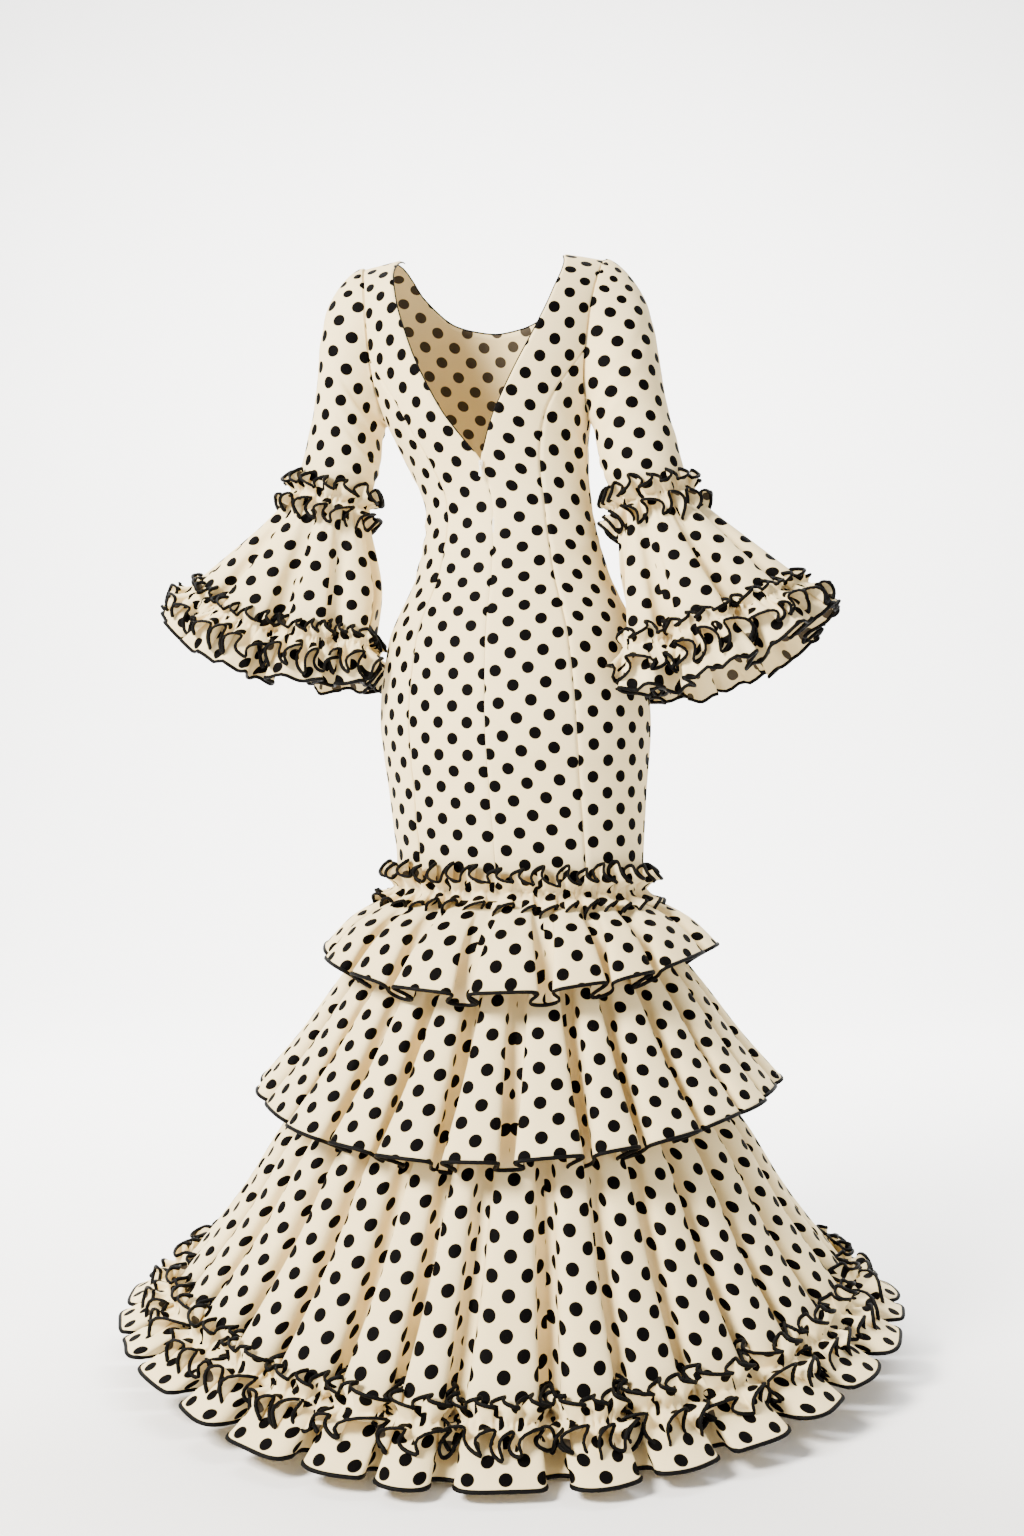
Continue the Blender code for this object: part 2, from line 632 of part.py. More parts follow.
def skirt(finish):
    """Three tiers and the strip below the lowest one, three points to a flute."""
    for name in TIERS:
        angle = FULL_TURN * flute_columns(TIERS[name]["flutes"])[None, :]
        along = np.linspace(0, 1, 3)[:, None]
        surface = partial(tier, name)
        normals = normals_of(surface, angle, np.clip(along, 1e-3, 1 - 1e-3))
        wall("tier_" + name, surface(angle, along), normals, True, finish)
    angle = FULL_TURN * flute_columns(TIERS["lower"]["flutes"])[None, :]
    along = np.array([0.0, 1.0])[:, None]
    normals = normals_of(hem_flounce, angle, along)
    wall("hem_flounce", hem_flounce(angle, along), normals, True, finish)


def zip_tape(finish):
    """Tape of the concealed zip: a flat strip inside the centre-back seam."""
    level = LEVELS[(LEVELS > ZIP_FOOT) & (LEVELS < ZIP_TOP)]
    level = np.concatenate([[ZIP_FOOT], level, [ZIP_TOP]])[::-1, None]
    across = np.linspace(-0.5, 0.5, 3)[None, :] * ZIP_TAPE["width"]
    angle = across / BODY.at("half_width", level)
    normals = back_outward(angle, level)
    inside = CLOTH / 2 + ZIP_TAPE["thickness"] / 2 + 8 * GAP
    points = torso(angle, level) - normals * inside
    wall("zip_tape", points, normals, False, finish, ZIP_TAPE["thickness"])


def bridge():
    """Half ring of wire in the YZ plane round the hinge line, its two feet in the slider plate."""
    turn = np.linspace(0, math.pi, 13)
    out = BRIDGE["off"] + BRIDGE["radius"] * np.sin(turn)
    up = -BRIDGE["radius"] * np.cos(turn)
    y = np.concatenate([[0], out, [0]])
    z = np.concatenate([up[:1], up, up[-1:]])
    along = np.stack([np.gradient(y), np.gradient(z)], axis=-1)
    along = along / np.linalg.norm(along, axis=-1, keepdims=True)
    around = FULL_TURN * np.arange(8)[None, :] / 8
    x = BRIDGE["wire"] * np.cos(around) + 0 * y[:, None]
    aside = BRIDGE["wire"] * np.sin(around)
    points = np.stack([x, y[:, None] - aside * along[:, 1:], z[:, None] + aside * along[:, :1]], axis=-1)
    rows, columns = points.shape[:2]
    faces = [tuple(range(columns)), tuple(range(rows * columns - 1, (rows - 1) * columns - 1, -1))]
    for row in range(rows - 1):
        for column in range(columns):
            a, b = row * columns + column, row * columns + (column + 1) % columns
            faces.append((a, b, b + columns, a + columns))
    mesh = bpy.data.meshes.new("bridge")
    mesh.from_pydata(points.reshape(-1, 3).tolist(), [], faces)
    return mesh


def zip_slider(finish):
    """Slider plate at the top of the seam with the bridge on it; returns the middle of the hinge."""
    point = torso(0.0, SLIDER["height"])
    normal = back_outward(np.array(0.0), np.array(SLIDER["height"]))
    tilt = math.atan2(normal[2], normal[1])
    off = CLOTH / 2 + 3 * GAP + SLIDER["depth"] / 2
    frame = Matrix.Translation(Vector(point + normal * off)) @ Matrix.Rotation(tilt, 4, "X")
    mesh = bpy.data.meshes.new("zip_slider")
    shape = bmesh.new()
    bmesh.ops.create_cube(shape, size=1.0)
    bmesh.ops.scale(shape, vec=(SLIDER["width"], SLIDER["depth"], SLIDER["length"]), verts=shape.verts)
    bmesh.ops.bevel(shape, geom=shape.edges[:], offset=0.0004, segments=1, affect="EDGES")
    shape.to_mesh(mesh)
    shape.free()
    slider = finished("zip_slider", mesh, finish)
    half_ring = finished("bridge", bridge(), finish)
    half_ring.hide_render = True
    half_ring.display_type = "WIRE"
    joint = slider.modifiers.new("bridge", "BOOLEAN")
    joint.operation = "UNION"
    joint.object = half_ring
    half_ring.matrix_world = frame
    slider.matrix_world = frame
    return frame @ Vector((0, BRIDGE["off"], 0))


def zip_tab(hinge, finish):
    """Drop-shaped pull tab with an eye round the bridge, its origin on the hinge line."""
    rows = TAB_OUTLINE.rows
    right = rows[:, [1, 0]]
    left = right[-2:0:-1] * np.array([-1.0, 1.0])
    outline = np.concatenate([right, left])
    turn = np.arctan2(outline[:, 0], outline[:, 1] - TAB["eye_below"])
    eye_x = TAB["eye_half_width"] * np.sin(turn)
    eye_below = TAB["eye_below"] + TAB["eye_half_height"] * np.cos(turn)
    hole = np.stack([eye_x, eye_below], axis=-1)
    count = len(outline)
    half = TAB["thickness"] / 2
    corners = []
    for ring in (outline, hole):
        for side in (half, -half):
            corners += [(x, side, -below) for x, below in ring]
    faces = []
    for i in range(count):
        j = (i + 1) % count
        faces.append((i, j, 2 * count + j, 2 * count + i))
        faces.append((count + j, count + i, 3 * count + i, 3 * count + j))
        faces.append((j, i, count + i, count + j))
        faces.append((2 * count + i, 2 * count + j, 3 * count + j, 3 * count + i))
    mesh = bpy.data.meshes.new("zip_tab")
    mesh.from_pydata(corners, [], faces)
    tab = finished("zip_tab", mesh, finish)
    tab.location = hinge


def build():
    for old in list(bpy.data.objects):
        bpy.data.objects.remove(old, do_unlink=True)
    cloth = material("dotted_crepe", CREAM, 0.62)
    lacquer = material("cream_zip_enamel", CREAM_ZIP, 0.35)
    body_panels(cloth)
    sleeves(cloth)
    bells(cloth)
    skirt(cloth)
    frills(cloth)
    zip_tape(material("zip_tape_polyester", CREAM_SHADE, 0.8))
    hinge = zip_slider(lacquer)
    zip_tab(hinge, lacquer)


build()
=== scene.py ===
"""Looks of the flamenco dress: cream crepe with black dots, black bound flounces, an open back."""

import math
from functools import partial

import bmesh
import bpy
import numpy as np
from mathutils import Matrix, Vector


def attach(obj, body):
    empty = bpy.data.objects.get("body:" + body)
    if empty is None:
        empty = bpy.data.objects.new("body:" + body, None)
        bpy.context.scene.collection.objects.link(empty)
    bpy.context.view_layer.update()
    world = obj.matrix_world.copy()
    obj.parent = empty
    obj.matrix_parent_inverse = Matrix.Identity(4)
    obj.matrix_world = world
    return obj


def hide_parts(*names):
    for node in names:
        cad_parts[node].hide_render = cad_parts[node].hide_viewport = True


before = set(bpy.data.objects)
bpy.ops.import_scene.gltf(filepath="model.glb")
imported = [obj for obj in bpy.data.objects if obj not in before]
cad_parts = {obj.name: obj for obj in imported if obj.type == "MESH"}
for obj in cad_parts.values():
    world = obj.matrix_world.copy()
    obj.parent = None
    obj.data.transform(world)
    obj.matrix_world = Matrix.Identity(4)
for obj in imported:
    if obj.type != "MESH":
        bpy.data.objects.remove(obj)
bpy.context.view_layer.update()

# ---------------------------------------------------------------- the dress's own sizes, in metres
SHOULDER = 1.44  # shoulder line above the floor; the origin is on it
FULL_TURN = 2 * math.pi
SIDES = (("left", 1), ("right", -1))
CLOSING = 1.335  # above this height the back and front close towards the shoulder line
SHOULDER_DROP = 0.010  # from the neck point down to the shoulder point
NECK_POINT = 0.106  # half widths of the shoulder seam's two ends
SHOULDER_POINT = 0.163
ARMHOLE_FOOT = 1.225
ARMHOLE_DARTS = 1.300  # where the princess seams run into the armholes
NECK_FOOT = 1.157  # foot of the open back, where the zip starts
PANEL_FOOT = 0.362
PANEL_HEM_COVERED = 0.18  # lowest stretch of the panels, out of sight under the tiers, left out
SHOULDER_TWIST = math.radians(8)
TWIST_FROM = 1.15
CLOTH_THICKNESS = 0.0007  # about the mid surface of each solid's wall

DOT_DIAMETER = 0.0158
DOT_CELL = 0.0415  # one dot at each corner of this square and one in its middle
INK_WANDER = 0.0004  # how far a dot's edge strays from its circle
BINDING = {"width": 0.0052, "thickness": 0.0038}
# the narrow black tape on the neck edges is partly real black edging and partly painted shade: it also
# stands for the shadow that the folded edge casts on the skin
NECK_TAPE_AND_SHADE = {"width": 0.0022, "thickness": 0.0016}


class Table:
    """Rows of sizes with named columns, read as smooth curves over the first column."""

    def __init__(self, names, *rows):
        self.names = names.split()
        self.rows = np.array(rows, float)

    def at(self, name, where):
        """Cubic curve through the column, with slopes that never overshoot its rows."""
        xs = self.rows[:, 0]
        ys = self.rows[:, self.names.index(name)]
        where = np.clip(np.asarray(where, float), xs[0], xs[-1])
        steps = np.diff(ys) / np.diff(xs)
        before, after = steps[:-1], steps[1:]
        same_way = before * after > 0
        middle = np.where(same_way, 2 * before * after / np.where(same_way, before + after, 1), 0)
        slopes = np.concatenate([steps[:1], middle, steps[-1:]])
        i = np.clip(np.searchsorted(xs, where, side="right") - 1, 0, len(xs) - 2)
        width = xs[i + 1] - xs[i]
        t = (where - xs[i]) / width
        return (
            ys[i] * (1 + 2 * t) * (1 - t) ** 2
            + ys[i + 1] * t**2 * (3 - 2 * t)
            + width * slopes[i] * t * (1 - t) ** 2
            - width * slopes[i + 1] * t**2 * (1 - t)
        )


BODY = Table(
    "height half_width back front centre_x",
    (0.36, 0.190, 0.150, 0.146, -0.043),
    (0.50, 0.172, 0.122, 0.118, -0.046),
    (0.62, 0.167, 0.113, 0.106, -0.049),
    (0.72, 0.174, 0.127, 0.108, -0.046),
    (0.82, 0.183, 0.140, 0.112, -0.043),
    (0.92, 0.171, 0.130, 0.110, -0.041),
    (1.02, 0.129, 0.094, 0.100, -0.039),
    (1.10, 0.113, 0.076, 0.094, -0.034),
    (1.155, 0.120, 0.085, 0.106, -0.021),
    (1.225, 0.140, 0.102, 0.132, -0.005),
    (1.30, 0.164, 0.108, 0.122, 0.0),
    (1.37, 0.177, 0.108, 0.104, 0.0),
    (1.44, 0.180, 0.100, 0.092, 0.0),
)
PRINCESS_SEAM = Table(
    "height angle",
    (0.36, 0.80),
    (0.62, 0.74),
    (0.82, 0.66),
    (1.10, 0.63),
    (1.225, 0.80),
    (1.30, 1.08),
)
SCOOP_SHARE = 0.66  # share of the front panel's top that the neckline takes
BACK_NECK = Table(
    "height half_width",
    (1.157, 0.0006),
    (1.24, 0.047),
    (1.33, 0.089),
    (1.37, 0.103),
    (1.42, 0.113),
    (1.44, 0.108),
)
FRONT_NECK = Table(
    "share top",
    (0.0, 1.352),
    (0.30, 1.360),
    (0.52, 1.385),
    (0.66, 1.440),
    (1.0, 1.440),
)
ARMHOLE = Table(
    "height half_width",
    (1.225, 0.140),
    (1.25, 0.1415),
    (1.30, 0.1460),
    (1.36, 0.1510),
    (1.40, 0.1560),
    (1.44, 0.1630),
)
SLEEVE = Table(
    "along inner_x inner_height outer_x outer_height half_depth centre_y sway",
    (0.00, 0.1446, 1.225, 0.169, 1.432, 0.054, 0.000, 0.000),
    (0.06, 0.1463, 1.221, 0.181, 1.436, 0.057, 0.000, 0.000),
    (0.12, 0.1478, 1.217, 0.195, 1.424, 0.058, 0.001, -0.001),
    (0.30, 0.1500, 1.203, 0.218, 1.368, 0.057, 0.002, -0.003),
    (0.45, 0.1510, 1.188, 0.228, 1.315, 0.055, 0.004, -0.005),
    (0.60, 0.1530, 1.170, 0.237, 1.255, 0.052, 0.006, -0.007),
    (0.80, 0.1620, 1.142, 0.254, 1.185, 0.051, 0.009, -0.009),
    (1.00, 0.1725, 1.106, 0.270, 1.128, 0.050, 0.012, -0.010),
)
ARM_SWING = 0.015  # the left elbow is this far behind the shoulders' line, the right one before it
ARM_REACH = {1: 0.0, -1: 0.016}  # the right arm hangs lower
SET_IN_CLEARANCE = 0.0016  # the sleeve head stands this far outside the armhole
SLEEVE_SET_IN = 0.30  # share of the sleeve over which the armhole's shape fades out

BELL_AXIS_TILT = math.radians(20)
BELL_HEM = {"outer": 0.174, "inner": 0.195, "depth": 0.130, "behind": 0.004}
BELL_DROP = {"mean": 0.226, "sides": -0.020, "inner": -0.010, "back": -0.010}
BELL_FLUTES = (1.15, 0.85, 1.1, 0.9, 1.2, 0.85, 1.0, 1.05, 0.9)
BELL_BACK_SAG = 0.013  # the bell hangs this much lower behind than its solid
BELL_FOLD = 0.044
BODY_CLEARANCE = 0.030  # from the body to the mid line of a bell that presses on it
BODY_SOFTNESS = 0.11
LAYER_STEP = 0.0050  # between the mid lines of two layers of cloth

TIERS = {
    # seam and side hem heights, the hem's dips at back and front, hem radii and widths of flutes
    "upper": {
        "seam": 0.588,
        "hem": 0.517,
        "dip": (0.040, 0.0),
        "side": 0.263,
        "back": 0.252,
        "front": 0.242,
        "flutes": (1.2, 0.9, 1.1, 1.0, 0.8, 1.3, 0.9, 1.0, 1.1) * 2,
    },
    "middle": {
        "seam": 0.548,
        "hem": 0.337,
        "dip": (0.042, 0.0),
        "side": 0.346,
        "back": 0.342,
        "front": 0.330,
        "flutes": (1.1, 0.9, 1.0, 1.2, 0.8, 1.0, 1.15, 0.9, 1.0, 1.05, 0.85, 1.2, 0.95) * 2,
    },
    "lower": {
        "seam": 0.395,
        "hem": 0.092,
        "dip": (0.040, 0.040),
        "side": 0.447,
        "back": 0.486,
        "front": 0.440,
        "flutes": (1.0, 1.15, 0.85, 1.1, 0.9, 1.05, 1.2, 0.8) * 4,
    },
}
TIER_PROFILE = {
    # share of the way down, share of the way out
    "upper": Table("down out", (0.0, 0.0), (0.2, 0.30), (0.45, 0.60), (1.0, 1.0)),
    "middle": Table("down out", (0.0, 0.0), (0.1, 0.15), (0.34, 0.385), (0.7, 0.70), (1.0, 1.0)),
    "lower": Table("down out", (0.0, 0.0), (0.12, 0.21), (0.32, 0.43), (0.64, 0.67), (1.0, 1.0)),
}
TRAIN_TURN = 0.28  # the lowest hem trails this far towards the wearer's right
HEM_FLOUNCE = {
    "side": {"height": 0.052, "flare": 0.070},
    "back": {"height": 0.003, "flare": 0.070},
    "front": {"height": 0.004, "flare": 0.050},
}
KNEE_LINE = 0.599  # height of the knee frill's gathering line
ELBOW_LINE = 0.985  # share of the sleeve above the elbow frill's gathering line
CUFF_LINE = 0.79  # share of the bell above the cuff frill's gathering line
HEM_LINE = 0.985  # share of the lower tier above the hem frill's gathering line

# ---------------------------------------------------------------- sizes of folds and frills

CREST_WIDENING = 0.125  # share of a flute by which its crest spreads at the hem
CLOTH_SEEDS = {"upper": 11, "middle": 23, "lower": 35, "hem_flounce": 47, "knee": 51, "hem_frill": 63}
ARM_SEEDS = {"bell": 71, "elbow": 81, "cuff": 91}  # each plus 1 on the left, less 1 on the right
TIER_FOLDS = {
    # depth of the valleys at the hem, how much lower they hang than the crests, how far flanks turn under
    "upper": (0.036, 0.024, 0.165),
    "middle": (0.054, 0.026, 0.165),
    "lower": (0.058, 0.0, 0.105),
}
SEAM_GATHERS = {"height": 0.0014, "per_flute": 3, "fade": 0.035}
BELL_TURN_UNDER = 0.125
BELL_HANG = 0.014
BELL_SCALLOPS = {"count": 25, "out": 0.0045, "down": 0.0035, "from": 0.76}
FRILL_TURN_UNDER = 0.035  # a frill's line follows its host's flutes, less deeply folded
CURL_LAG = 0.65  # a frill's edge rises and falls this much later than it swings in and out
LOWER_CURL = 1.45  # a frill's lower edge curls this much more than its upper one

FRILL_SIZES = (
    # how far it reaches up and down from its gathering line, and leans out there
    "rise drop out_up out_down "
    # how its edges swing in and out and loop back along the line, as a share of a wave
    "swing_up swing_down loop_up loop_down "
    # how far they tilt to one side and curl up and down, and the puckers on the line itself
    "tilt curl pucker"
).split()
FRILLS = {
    "knee": (0.025, 0.028, 0.015, 0.018, 0.0100, 0.0110, 0.185, 0.195, 0.22, 0.0112, 0.0018),
    "elbow": (0.020, 0.022, 0.011, 0.015, 0.0085, 0.0095, 0.190, 0.195, 0.24, 0.0105, 0.0016),
    "cuff": (0.016, 0.033, 0.007, 0.013, 0.0070, 0.0085, 0.180, 0.185, 0.24, 0.0095, 0.0016),
    "hem_frill": (0.022, 0.026, 0.012, 0.016, 0.0075, 0.0085, 0.180, 0.185, 0.24, 0.0100, 0.0016),
}
FRILL_STAND_OFF = 0.003
CUFF_BACK_RISE = 0.045  # the cuff frill's line is this share higher behind
CENTRE_LEAN = {1: 0.03, -1: -0.10}  # the print's turn on each centre back panel
SLEEVE_RADIUS = 0.053


def turned(angle):
    """Whether an angle from the centre back is on the back half."""
    return np.cos(angle) > 0


def twisted(points):
    """Points turned about the upright axis, from nothing at the waist to the shoulders' twist."""
    rise = np.clip((points[..., 2] + SHOULDER - TWIST_FROM) / (SHOULDER - TWIST_FROM), 0, 1)
    turn = SHOULDER_TWIST * rise * rise * (3 - 2 * rise)
    x = points[..., 0] * np.cos(turn) - points[..., 1] * np.sin(turn)
    y = points[..., 0] * np.sin(turn) + points[..., 1] * np.cos(turn)
    return np.stack([x, y, points[..., 2]], axis=-1)


def torso(angle, level):
    """Point of the fitted body at an angle from the centre back and a level, shoulders turned."""
    return twisted(straight_torso(angle, level))


def height_of(level):
    """Height of a level: above CLOSING it runs up a quarter of an ellipse to the shoulder line."""
    rise = np.clip((level - CLOSING) / (SHOULDER - CLOSING), 0, 1) * math.pi / 2
    return np.where(level > CLOSING, CLOSING + (SHOULDER - CLOSING) * np.sin(rise), level)


def straight_torso(angle, level):
    """Point of the fitted body before the shoulders turn.

    A ring has its own half width and its own depths to the back and to the front. Above CLOSING
    the level runs up a quarter of an ellipse, so the two depths shrink to nothing on the shoulder
    line.
    """
    angle, level = np.broadcast_arrays(np.asarray(angle, float), np.asarray(level, float))
    rise = np.clip((level - CLOSING) / (SHOULDER - CLOSING), 0, 1) * math.pi / 2
    height = height_of(level)
    width = BODY.at("half_width", height)
    depth = np.where(turned(angle), BODY.at("back", height), BODY.at("front", height))
    x = width * np.sin(angle)
    past_neck = np.clip((np.abs(x) - NECK_POINT) / (SHOULDER_POINT - NECK_POINT), 0, 1)
    top = SHOULDER - SHOULDER_DROP * past_neck
    height = np.where(level > CLOSING, CLOSING + (top - CLOSING) * np.sin(rise), height)
    y = depth * np.cos(angle) * np.cos(rise)
    return np.stack([BODY.at("centre_x", height) + x, y, height - SHOULDER], axis=-1)


def edge_angle(table, level):
    """Angle from the centre back at which the body reaches the half width that a table states."""
    height = height_of(level)
    return np.arcsin(np.clip(table.at("half_width", height) / BODY.at("half_width", height), 0, 1))


def outer_angle(level):
    """Angle of the centre panels' outer edge: the princess seam, then the armhole above it."""
    seam = PRINCESS_SEAM.at("angle", level)
    return np.where(level > ARMHOLE_DARTS + 1e-6, edge_angle(ARMHOLE, level), seam)


def side_angle(level):
    """Angle of the side panels' outer edge: the side seam, then the lower part of the armhole."""
    armhole = edge_angle(ARMHOLE, np.maximum(level, ARMHOLE_FOOT))
    return np.where(level > ARMHOLE_FOOT + 1e-6, armhole, math.pi / 2)


def clear_of_body(points):
    """Points moved out from the body's centre line where they would press into it.

    The distance from the centre line, as a share of the body's ring, becomes a soft maximum of
    itself and one ring with clearance, so points keep their order.
    """
    height = points[..., 2] + SHOULDER
    out = points[..., :2].copy()
    out[..., 0] -= BODY.at("centre_x", height)
    width = BODY.at("half_width", height)
    depth = np.where(out[..., 1] > 0, BODY.at("back", height), BODY.at("front", height))
    share = np.hypot(out[..., 0] / width, out[..., 1] / depth)
    least = 1 + BODY_CLEARANCE / width
    pressed = least + BODY_SOFTNESS * np.logaddexp(0, (share - least) / BODY_SOFTNESS)
    moved = points.copy()
    moved[..., :2] += out * (pressed / share - 1)[..., None]
    return moved


def sleeve_ring(angle, along):
    """Point of the left sleeve's own rings: angle 0 is the underarm line, pi the outer line.

    A ring runs through an inner and an outer point in the XZ plane with a half depth in Y.
    """
    inner_share = (1 + np.cos(angle)) / 2
    x = SLEEVE.at("inner_x", along) * inner_share + SLEEVE.at("outer_x", along) * (1 - inner_share)
    height = SLEEVE.at("inner_height", along) * inner_share
    height = height + SLEEVE.at("outer_height", along) * (1 - inner_share)
    y = SLEEVE.at("centre_y", along) + SLEEVE.at("half_depth", along) * np.sin(angle)
    return np.stack([x, y, height - SHOULDER], axis=-1)


def placed(points, side, along):
    """Points of the left arm put on their side, 1 left or -1 right, and swayed with the arm."""
    points = points * np.array([side, 1.0, 1.0])
    points[..., 0] += SLEEVE.at("sway", along)
    points[..., 1] += side * ARM_SWING * along
    points[..., 2] -= ARM_REACH[side] * along
    return points


def sleeve(angle, along, side):
    """Point of a sleeve, which near its top fades into the armhole's own curve."""
    angle, along = np.broadcast_arrays(np.asarray(angle, float), np.asarray(along, float))
    ring = placed(sleeve_ring(angle, along), side, along)
    level = ARMHOLE_FOOT + (SHOULDER - ARMHOLE_FOOT) * (1 - np.cos(angle)) / 2
    hole_angle = edge_angle(ARMHOLE, level)
    hole = straight_torso(side * np.where(np.sin(angle) >= 0, hole_angle, math.pi - hole_angle), level)
    hole[..., 0] += side * SET_IN_CLEARANCE
    t = np.clip(along / SLEEVE_SET_IN, 0, 1)
    blend = (t * t * (3 - 2 * t))[..., None]
    return twisted(hole * (1 - blend) + ring * blend)


def elbow_frame():
    """Middle of the sleeve's lower ring, and the unit vectors across it, backwards and down it."""
    end = SLEEVE.rows[-1]
    middle = np.array([(end[1] + end[3]) / 2, end[6], (end[2] + end[4]) / 2 - SHOULDER])
    inward = np.array([-math.cos(BELL_AXIS_TILT), 0, -math.sin(BELL_AXIS_TILT)])
    down = np.array([math.sin(BELL_AXIS_TILT), 0, -math.cos(BELL_AXIS_TILT)])
    return middle, inward, np.array([0.0, 1.0, 0.0]), down


def fluted_edges(flutes):
    """Shares of a round trip at which flutes of these widths begin and end."""
    return np.concatenate([[0], np.cumsum(flutes)]) / sum(flutes)


def bell_plain(angle, along, side):
    """Point of a bell without its folds: straight lines from the elbow ring to the hem ring."""
    angle, along = np.broadcast_arrays(np.asarray(angle, float), np.asarray(along, float))
    middle, inward, backward, down = elbow_frame()
    cos, sin = np.cos(angle)[..., None], np.sin(angle)[..., None]
    top = sleeve_ring(angle, 1.0)
    reach = np.where(cos > 0, BELL_HEM["inner"], BELL_HEM["outer"])
    drop = BELL_DROP["mean"] + BELL_DROP["sides"] * np.cos(2 * angle)[..., None]
    drop = drop + BELL_DROP["inner"] * cos + BELL_DROP["back"] * sin
    drop = drop + BELL_BACK_SAG * np.clip(sin, 0, 1)
    back = BELL_HEM["depth"] * sin + BELL_HEM["behind"]
    hem = middle + drop * down + reach * cos * inward + back * backward
    return placed(top + (hem - top) * along[..., None], side, 1.0), cos * inward + sin * backward


def tier_plain(name, angle, along):
    """Point on the crest line of a skirt tier at an angle from the centre back.

    The seam ring is the body's ring moved out by one layer, the hem ring has its own radii and
    dips, and the profile table says how fast the cloth leaves the body.
    """
    angle, along = np.broadcast_arrays(np.asarray(angle, float), np.asarray(along, float))
    sizes = TIERS[name]
    trail = np.cos(angle + TRAIN_TURN * (name == "lower"))
    hem_height = sizes["hem"] - np.where(trail > 0, *sizes["dip"]) * np.abs(trail) ** 1.5
    height = sizes["seam"] + (hem_height - sizes["seam"]) * along
    way = TIER_PROFILE[name].at("out", along)
    seam_side = BODY.at("half_width", sizes["seam"]) + LAYER_STEP
    backward = turned(angle)
    seam_depth = np.where(backward, BODY.at("back", sizes["seam"]), BODY.at("front", sizes["seam"]))
    hem_depth = np.where(backward, sizes["back"], sizes["front"])
    side = seam_side + (sizes["side"] - seam_side) * way
    depth = seam_depth + LAYER_STEP + (hem_depth - seam_depth - LAYER_STEP) * way
    x = BODY.at("centre_x", sizes["seam"]) + side * np.sin(angle)
    return np.stack([x, depth * np.cos(angle), height - SHOULDER], axis=-1)


def flounce_plain(angle, along):
    """Point of the strip below the lower tier: it goes on outwards and down to the floor."""
    angle, along = np.broadcast_arrays(np.asarray(angle, float), np.asarray(along, float))
    start = tier_plain("lower", angle, HEM_LINE)
    side_share = np.sin(angle + TRAIN_TURN) ** 2
    sizes = {}
    for size in ("height", "flare"):
        end = np.where(turned(angle + TRAIN_TURN), HEM_FLOUNCE["back"][size], HEM_FLOUNCE["front"][size])
        sizes[size] = end + (HEM_FLOUNCE["side"][size] - end) * side_share
    x = start[..., 0] + along * sizes["flare"] * np.sin(angle)
    y = start[..., 1] + along * sizes["flare"] * np.cos(angle)
    start_height = start[..., 2] + SHOULDER
    height = start_height + (sizes["height"] - start_height) * along
    return np.stack([x, y, height - SHOULDER], axis=-1)


def normals_of(surface, first, second):
    """Unit normals of a surface by small steps along both of its parameters."""
    step = 1e-4
    across = surface(first + step, second) - surface(first - step, second)
    down = surface(first, second + step) - surface(first, second - step)
    normal = np.cross(across, down)
    return normal / np.linalg.norm(normal, axis=-1, keepdims=True)


def unit(vectors):
    """Vectors of the same directions, each 1 long."""
    return vectors / np.linalg.norm(vectors, axis=-1, keepdims=True)


# ---------------------------------------------------------------- meshes


def grid_mesh(name, points, uv, closed, outward):
    """Mesh of a grid of points; uv holds the cloth coordinates at both ends of every column of faces.

    `outward` holds a vector for each point that its faces look along.
    """
    rows, columns = points.shape[:2]
    turns = columns if closed else columns - 1
    row, column = np.meshgrid(np.arange(rows - 1), np.arange(turns), indexing="ij")
    after = (column + 1) % columns
    corners = np.stack(
        [row * columns + column, row * columns + after, (row + 1) * columns + after]
        + [(row + 1) * columns + column],
        axis=-1,
    )
    cloth = np.stack([uv[0][:-1], uv[1][:-1], uv[1][1:], uv[0][1:]], axis=2)
    flat = points.reshape(-1, 3)
    a, b, c = (flat[corners[..., i]] for i in (0, 1, 2))
    facing = (np.cross(b - a, c - a) * outward.reshape(-1, 3)[corners[..., 0]]).sum()
    if facing < 0:
        corners, cloth = corners[..., ::-1], cloth[:, :, ::-1]
    faces = corners.reshape(-1, 4)
    mesh = bpy.data.meshes.new(name)
    mesh.vertices.add(len(flat))
    mesh.vertices.foreach_set("co", np.ascontiguousarray(flat, np.float32).ravel())
    mesh.loops.add(faces.size)
    mesh.loops.foreach_set("vertex_index", np.ascontiguousarray(faces, np.int32).ravel())
    mesh.polygons.add(len(faces))
    mesh.polygons.foreach_set("loop_start", np.arange(len(faces), dtype=np.int32) * 4)
    layer = mesh.uv_layers.new(name="cloth")
    layer.data.foreach_set("uv", np.ascontiguousarray(cloth, np.float32).ravel())
    mesh.update(calc_edges=True)
    mesh.shade_smooth()
    return mesh


def shown(name, mesh, finish, nodes=()):
    """Object of a mesh with its finish, riding on the dress."""
    made = bpy.data.objects.new(name, mesh)
    bpy.context.scene.collection.objects.link(made)
    mesh.materials.append(finish)
    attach(made, "dress")
    if nodes:
        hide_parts(*nodes)
    return made


def cloth_piece(node, points, uv, closed, outward):
    """Thin shell of cloth for a CAD node, which it hides."""
    mesh = grid_mesh(node + "_cloth", points, uv, closed, outward)
    made = shown(node + "_cloth", mesh, CREPE, [node])
    thick = made.modifiers.new("thickness", "SOLIDIFY")
    thick.thickness = CLOTH_THICKNESS
    thick.offset = 0.0
    mesh.materials.append(CREPE_REVERSE)
    thick.material_offset = 1
    along_rows = np.linalg.norm(np.diff(points, axis=1, append=points[:, :1]), axis=-1)
    along_rows = along_rows if closed else along_rows[:, :-1]


